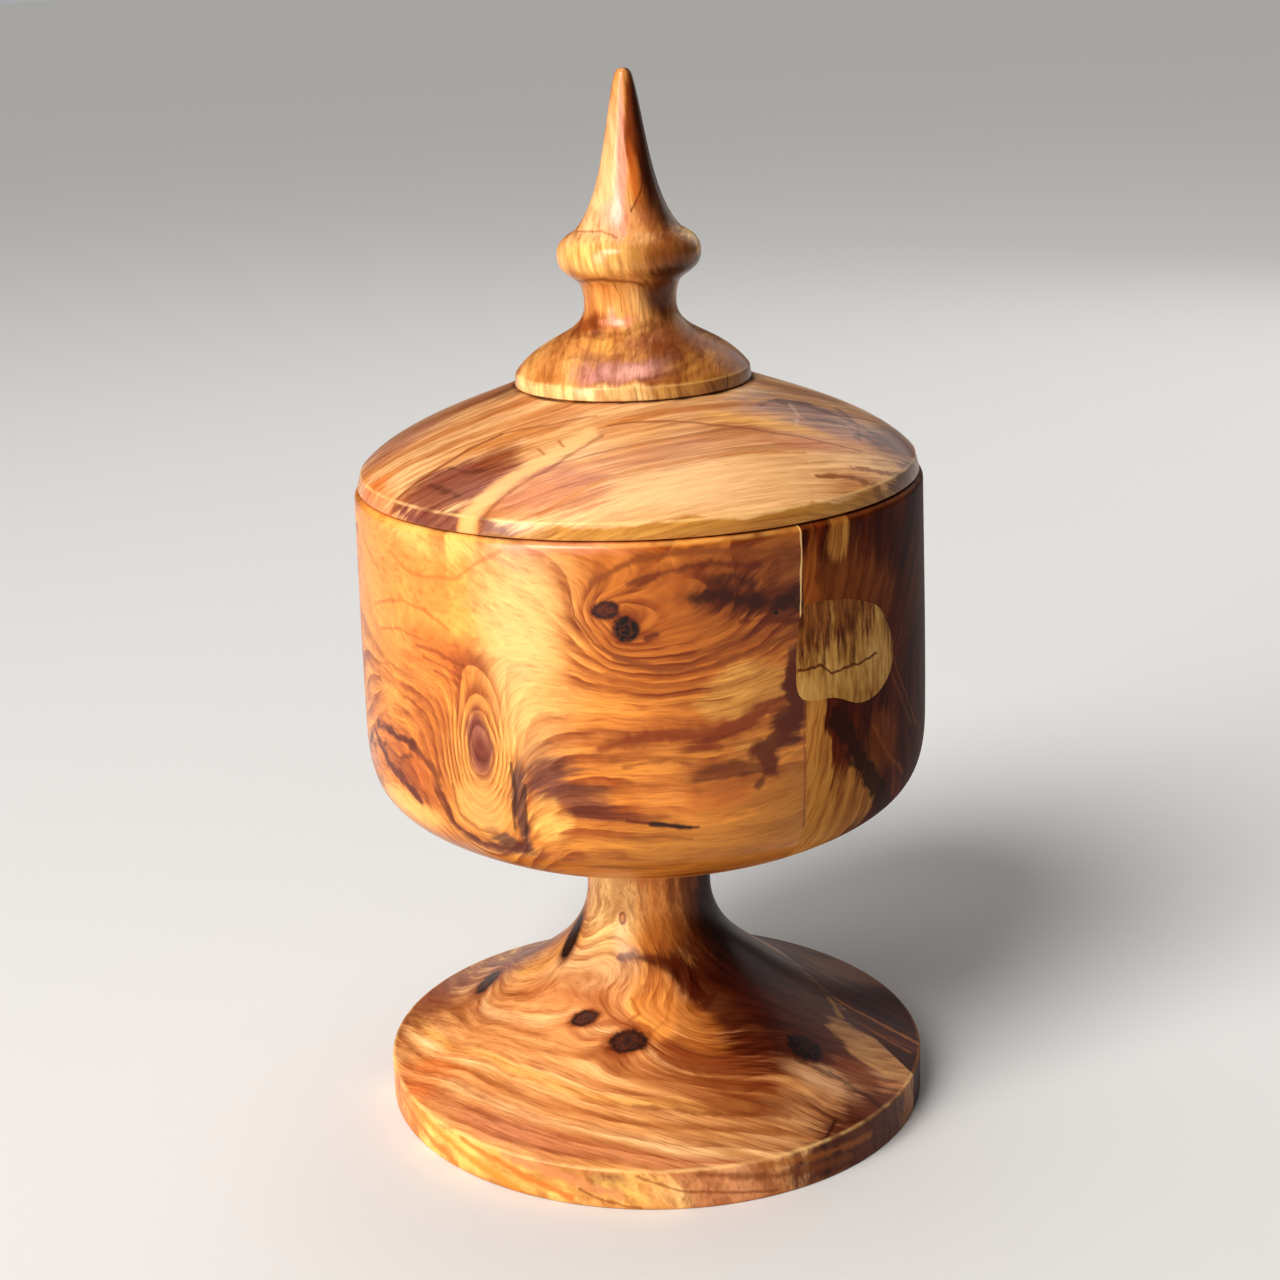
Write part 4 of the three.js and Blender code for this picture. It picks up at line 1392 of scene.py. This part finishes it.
@dataclass
class Lid:
    """The domed lid with its spigot and its hollow."""

    seat: float = 177.9
    radius: float = 74.3
    top_radius: float = 73.4
    band: float = 4.2
    crown_radius: float = 31.7
    crown: float = 24.5
    recess_radius: float = 6.8
    recess: float = 16.2
    hollow: float = 12.5
    ring_radius: float = 57.7
    spigot_radius: float = 67.2
    spigot: float = 6
    arris: float = 0.6
    edge_rounding: float = 0.35

    def outline(self) -> Outline:
        """The turned line of the lid."""
        low, small = self.seat, self.edge_rounding
        line = Outline(0, low + self.hollow).line(self.recess_radius, low + self.hollow)
        line.curve(self.ring_radius, low, Bend(0, -62), 24)
        line.line(self.ring_radius, low - self.spigot + self.arris)
        line.line(self.ring_radius + self.arris, low - self.spigot)
        line.line(self.spigot_radius - self.arris, low - self.spigot)
        line.line(self.spigot_radius, low - self.spigot + self.arris).line(self.spigot_radius, low)
        line.round(self.radius - small, low + small, small, -90, 0, 4)
        line.round(self.top_radius - small, low + self.band - small, small, 12, 46, 4)
        line.curve(self.crown_radius, low + self.crown, Bend(132, 155, 0.28, 0.23), 30)
        line.line(self.recess_radius, low + self.crown).line(self.recess_radius, low + self.recess)
        return line.line(0, low + self.recess)

    def wood(self) -> Wood:
        """The lid's wood, with its rings in leaning planes."""
        wall = Wall(1.3)
        return Wood(
            name="lid_wood", slot="lid_wood", wall=wall,
            rings=Rings((-0.237, 0.656, 0.717), 2.6, None, 1.8, 0.7), fibre=(0.95, 0.31, 0.03),
            tones=("B87A4A", "D0945E", "E2AC76", "ECBE88", "F4D09C"),
            ring_strength=0.4, ring_tint=(0.6, 0.4, 0.26), fleck_strength=0.35, grain_strength=0.45, coat=0.7,
            seed=(90, 2, 14),
            calm=(in_plan(15, -62, 34, 9, 14),),
            bands=tuple(Band(*row) for row in LID_BANDS),
            patches=marks(Patch, in_plan, LID_PATCHES) + marks(Patch, wall.spot, LID_BAND_PATCHES),
            streaks=marks(Streak, plan_route, LID_STREAKS),
            # A painted highlight along the top arris, painted shade along the lower edge over the bowl, and a ring of
            # painted shade where the finial stands on the lid.
            edge_highlights_and_shade=(
                PaintedEdgeShading(73.3, 181.95, 0.7, CREAM, 0.5), PaintedEdgeShading(74.2, 178.1, 0.5, OCHRE, 0.4),
                PaintedEdgeShading(31.2, 202.4, 1.3, DARK_BROWN, 0.9),
            ),
        )

    def build(self) -> list[bpy.types.Object]:
        """Builds the lid."""
        piece = finished("lid_board_fine", self.outline().spun())
        return [fitted(piece, self.wood(), "lid", "lid_board")]


# The finial's figure, with painted highlights on the left and painted shade on the right, by azimuth and height.
FINIAL_PATCHES = (
    ((-60, 258, 34, 20), "EEBC8A", 0.8, 0.5, 0.3),
    ((-60, 250, 16, 2.5), PALE_PEACH, 0.6, 0.7, 0.4),
    ((-16, 262, 12, 19), "EFA48E", 0.85, 0.5, 0.3),
    ((-25, 247, 20, 3.6), "F0AC94", 0.65, 0.7, 0.5),
    ((10, 246, 24, 2.6), ROSE, 0.5, 0.7, 0.5),
    ((45, 250, 30, 7), BROWN, 0.65, 0.7, 0.5),
    ((22, 262, 19, 16), "A65E2C", 0.75, 0.35, 0.35),
    ((42, 268, 38, 11, 5), RUST, 0.85, 0.4, 0.6),
    # Dark wood and painted shade on the spire's right side.
    ((62, 264, 34, 20), DARK_BROWN, 0.85, 0.6, 0.4),
    ((0, 265, 7, 5, 20), RUST, 0.7, 0.6, 0.8),
    ((10, 256, 11, 6, 8), ORANGE, 0.65, 0.8, 0.4),
    # A painted highlight on the bead.
    ((-32, 237, 38, 4.2), "F6C878", 0.8, 0.4, 0.2),
    ((12, 237, 22, 4), "BE8444", 0.6, 0.6, 0.4),
    ((40, 238, 26, 4), BROWN, 0.75, 0.5, 0.4),
    # Dark wood and painted shade under the bead's swell, on the right.
    ((60, 232.5, 46, 2.6), DARK_BROWN, 0.85, 0.5, 0.3),
    ((-45, 226, 30, 4), HONEY, 0.6, 0.5, 0.2),
    ((28, 214, 38, 6), "A06A36", 0.6, 0.8, 0.8),
    ((40, 226, 26, 6), RED_BROWN, 0.85, 0.6, 0.5),
    ((-55, 219, 30, 2.8, 6), RUST, 0.75, 0.6, 0.6),
    ((-20, 220.4, 18, 1.2, 4), PINK, 0.75, 0.6, 0.5),
    ((-20, 214, 24, 1.6, -4), PALE_GOLD, 0.6, 0.6, 0.6),
    ((5, 215, 24, 2.6, 12), MAUVE, 0.45, 0.7, 0.7),
    ((-9, 209.4, 23, 2.4, 5), "C4887A", 0.9, 0.5, 0.3),
    ((-4, 209.4, 10, 1.5, 3), "EEB4A0", 0.7, 0.7, 0.4),
    # Pale wood with a painted highlight on the left of the base band.
    ((-28, 204.2, 55, 2.4), "FAD292", 0.85, 0.4, 0.2),
    ((50, 213, 34, 5), BROWN, 0.6, 0.7, 0.7),
    ((35, 210, 14, 1.8, 10), KHAKI, 0.6, 0.6, 0.6),
    # Dark wood and painted shade on the right of the base band.
    ((80, 204, 25, 4), BROWN, 0.6, 0.6, 0.4),
    ((34, 204.4, 30, 2.2), "C89040", 0.75, 0.4, 0.3),
)
FINIAL_STREAKS = (
    (((1, 247.5), (12, 250), (22, 252.5), (34, 257)), 0.35, RED_BROWN, 0.7, 0.8, 0.4),
    (((13.5, 233.8), (10.8, 236), (11, 239), (18, 241), (36, 243)), 0.2, BROWN, 0.3, 0.9, 0.1),
    (((-5, 239), (-4.5, 235), (1, 231.5)), 0.18, BROWN, 0.35, 0.8, 0.1),
    (((-20, 230), (-15.5, 226), (-14.5, 222.5)), 0.22, BROWN, 0.6, 0.8, 0.2),
    (((6, 229.5), (6.5, 224), (5.5, 221)), 0.22, BROWN, 0.4, 0.8, 0.1),
    (((-3, 206), (-2.6, 202)), 0.2, RED_BROWN, 0.5, 0.8, 0.2),
    (((-33, 205), (-32.5, 202)), 0.15, BROWN, 0.5, 0.8, 0.1),
    (((8, 205), (8.5, 202)), 0.18, BROWN, 0.35, 0.9, 0.2),
    (((14, 205.4), (14.5, 202)), 0.18, BROWN, 0.35, 0.9, 0.2),
    (((48, 206), (47, 202)), 0.2, DARK_BROWN, 0.6, 0.7, 0.1),
    (((-80, 242.2), (-36, 243), (-15, 241.6)), 0.22, RUST, 0.5, 0.8, 0.3),
    (((-80, 229.8), (-30, 231.5), (0, 230.2), (10, 229)), 0.5, BROWN, 0.75, 0.8, 0.4),
    (((-60, 216), (-30, 217), (-5, 218), (20, 219.5)), 0.6, RED_BROWN, 0.35, 0.9, 1.1),
    (((5, 217), (30, 219)), 0.6, RED_BROWN, 0.35, 0.9, 1.1),
    (((-45, 212), (-10, 212.6), (20, 214)), 0.5, BROWN, 0.35, 0.9, 1.0),
    (((0, 207.6), (24, 209.4), (44, 212)), 0.45, RED_BROWN, 0.45, 0.9, 0.9),
)


@dataclass
class Finial:
    """The finial: a stepped base, an ogee shoulder, a cove, a bead and a spire in one turning."""

    seat: float = 202.7
    base_radius: float = 31.1
    base_rounding: float = 0.4

    def outline(self) -> Outline:
        """The turned line of the finial."""
        low, small = self.seat, self.base_rounding
        line = Outline(0, low - 8).line(6.5, low - 8).line(6.5, low)
        line.round(self.base_radius - small, low + small, small, -90, 0, 4)
        line.round(self.base_radius - 0.3 - small, low + 3.4 - small, small, 5, 43, 4)
        line.curve(12.05, low + 20.5, Bend(127, 90, 0.48, 0.34), 24)
        line.curve(13.25, low + 26.2, Bend(90, 63), 8)
        line.curve(18.75, low + 33.3, Bend(44, 90, 0.42, 0.48), 12)
        line.curve(13.8, low + 39.5, Bend(90, 148, 0.5, 0.24), 14)
        line.curve(2.5, low + 77.3, Bend(133, 104, 0.28, 0.3), 30)
        return line.curve(0, low + 79.8, Bend(104, 180, 0.4, 0.5), 8)

    def wood(self) -> Wood:
        """The finial's wood."""
        wall = Wall(0.33)
        return Wood(
            name="finial_wood", slot="finial_wood", wall=wall, calm=(wall.spot(-20, 264, 60, 20),),
            rings=Rings((0.34, -0.14, 0.17), 2.1, None, 4, 0.9), fibre=(0.16, -0.1, 1),
            tones=("A06030", "C08042", "DA9C58", "E8B26C", "F4C888"),
            ring_strength=0.4, fleck_strength=0.4, coat=0.65, seed=(44, 31, 77),
            patches=marks(Patch, wall.spot, FINIAL_PATCHES), streaks=marks(Streak, wall.route, FINIAL_STREAKS),
            # A painted highlight along the top arris of the finial's base.
            edge_highlights_and_shade=(PaintedEdgeShading(30.7, 206, 0.6, CREAM, 0.25),),
        )

    def build(self) -> list[bpy.types.Object]:
        """Builds the finial."""
        piece = finished("finial_fine", self.outline().spun())
        return [fitted(piece, self.wood(), "lid", "finial")]


def fitted(piece: bpy.types.Object, finish: Union[Wood, Putty], body: str, node: str) -> bpy.types.Object:
    """Dresses a piece and puts it in its node's place.

    Args:
        piece: The piece.
        finish: Its finish.
        body: The body that it moves with.
        node: The plain node that it stands for.

    Returns:
        The piece.
    """
    piece.data.materials.clear()
    piece.data.materials.append(finish.material())
    smooth(piece)
    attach(piece, body)
    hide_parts(node)
    return piece


# ---------------------------------------------------------------- studio


WARM_LIGHT, PALE_LIGHT = (1, 0.98, 0.95), (1, 0.99, 0.98)


@dataclass(frozen=True)
class Lamp:
    """A light panel that faces the bowl: sizes in metres, and angles in degrees from the front and the horizon."""

    name: str
    width: float
    height: float
    watts: float
    azimuth: float
    elevation: float
    distance: float
    tint: Tint = PALE_LIGHT


@dataclass
class Studio:
    """The camera, the pale floor and the lights: a soft key, a tall window, a pale ceiling and a weak fill behind."""

    eye: Point = (-42.73, -580.16, 309.11)
    right: Point = (0.99856, -0.01559, -0.05139)
    up: Point = (0.05370, 0.28985, 0.95556)
    forward: Point = (0, 0.95694, -0.29027)
    lens: float = 62.5
    sensor: float = 36
    shift: float = 0.1215
    floor_size: float = 60
    floor_colour: Tint = (0.74, 0.735, 0.73)
    sun_azimuth: float = -42
    sun_elevation: float = 44
    sun_spread: float = 28
    sun_strength: float = 2.4
    sun_distance: float = 2
    lamps: tuple[Lamp, ...] = (
        Lamp("window_light", 0.42, 1.1, 12.5, -53, 10, 1.3, WARM_LIGHT),
        Lamp("ceiling_light", 1.6, 1.6, 11, 200, 76, 1.8),
        Lamp("fill_light", 0.9, 0.9, 2.2, 140, 24, 1.5),
    )
    bowl_height: float = 0.14
    sky: float = 0.05
    backdrop: float = 0.42
    gamma: float = 0.83
    exposure: float = 0.17

    def camera(self) -> None:
        """Sets the camera where the photograph was taken from."""
        data = bpy.data.cameras.new("camera")
        data.lens, data.sensor_width, data.shift_x = self.lens, self.sensor, self.shift
        data.clip_start, data.clip_end = 0.01, 200
        camera = bpy.data.objects.new("camera", data)
        bpy.context.scene.collection.objects.link(camera)
        turn = Matrix((self.right, self.up, -Vector(self.forward))).transposed().to_4x4()
        camera.matrix_world = Matrix.Translation(Vector(self.eye) * MM) @ turn
        bpy.context.scene.camera = camera

    def floor(self) -> None:
        """Lays the pale floor."""
        mesh = bmesh.new()
        bmesh.ops.create_circle(mesh, cap_ends=True, radius=self.floor_size / MM, segments=96)
        floor = finished("floor", mesh)
        graph = Graph("floor_paper")
        inputs = {"Base Color": full(self.floor_colour), "Roughness": 0.8}
        floor.data.materials.append(graph.finish(graph.add("ShaderNodeBsdfPrincipled", inputs)))
        floor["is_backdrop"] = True

    def hung(self, name: str, data: bpy.types.Light, azimuth: float, elevation: float, distance: float) -> None:
        """Hangs a light so that it faces the bowl.

        Args:
            name: The light's name.
            data: The light.
            azimuth: Where it stands, in degrees to the right of the front.
            elevation: Its angle above the horizon.
            distance: Its distance in metres.
        """
        turn, tilt = math.radians(azimuth), math.radians(elevation)
        away = Vector((math.sin(turn) * math.cos(tilt), -math.cos(turn) * math.cos(tilt), math.sin(tilt)))
        light = bpy.data.objects.new(name, data)
        light.location = Vector((0, 0, self.bowl_height)) + away * distance
        light.rotation_euler = away.to_track_quat("Z", "Y").to_euler()
        bpy.context.scene.collection.objects.link(light)

    def lights(self) -> None:
        """Hangs the key light and the lamps, and sets the room and the exposure."""
        key = bpy.data.lights.new("key_light", "SUN")
        key.energy, key.angle, key.color = self.sun_strength, math.radians(self.sun_spread), WARM_LIGHT
        self.hung("key_light", key, self.sun_azimuth, self.sun_elevation, self.sun_distance)
        for lamp in self.lamps:
            panel = bpy.data.lights.new(lamp.name, "AREA")
            panel.shape, panel.size, panel.size_y = "RECTANGLE", lamp.width, lamp.height
            panel.energy, panel.color = lamp.watts, lamp.tint
            self.hung(lamp.name, panel, lamp.azimuth, lamp.elevation, lamp.distance)
        bpy.context.scene.world = self.room()
        shown = bpy.context.scene.view_settings
        shown.view_transform, shown.gamma, shown.exposure = "Standard", self.gamma, self.exposure

    def room(self) -> bpy.types.World:
        """Puts dim light all round, with a pale wall where the camera looks past the floor.

        Returns:
            The world.
        """
        world = bpy.data.worlds.new("room")
        world.use_nodes = True
        nodes, links = world.node_tree.nodes, world.node_tree.links
        background = nodes["Background"]
        background.inputs["Color"].default_value = (0.97, 0.98, 1, 1)
        seen = nodes.new("ShaderNodeLightPath")
        strength = nodes.new("ShaderNodeMapRange")
        strength.inputs["To Min"].default_value, strength.inputs["To Max"].default_value = self.sky, self.backdrop
        links.new(seen.outputs["Is Camera Ray"], strength.inputs["Value"])
        links.new(strength.outputs["Result"], background.inputs["Strength"])
        return world


# ---------------------------------------------------------------- putting it together


def corners(box: tuple[Vector, Vector]) -> list[list[float]]:
    """A box as plain lists of numbers."""
    return [list(corner) for corner in box]


def main() -> None:
    """Builds the studio and the box."""
    logging.basicConfig(level=logging.INFO, format="%(name)s: %(message)s")
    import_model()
    model_box = corners(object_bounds())
    studio = Studio()
    studio.camera()
    studio.floor()
    studio.lights()
    for part in (Foot(), Bowl(), Lid(), Finial()):
        for piece in part.build():
            piece.data.calc_loop_triangles()
            LOG.info("%s: %d triangles", piece.name, len(piece.data.loop_triangles))
    {"cad": model_box, "visual": corners(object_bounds())}


if __name__ == "__main__":
    main()
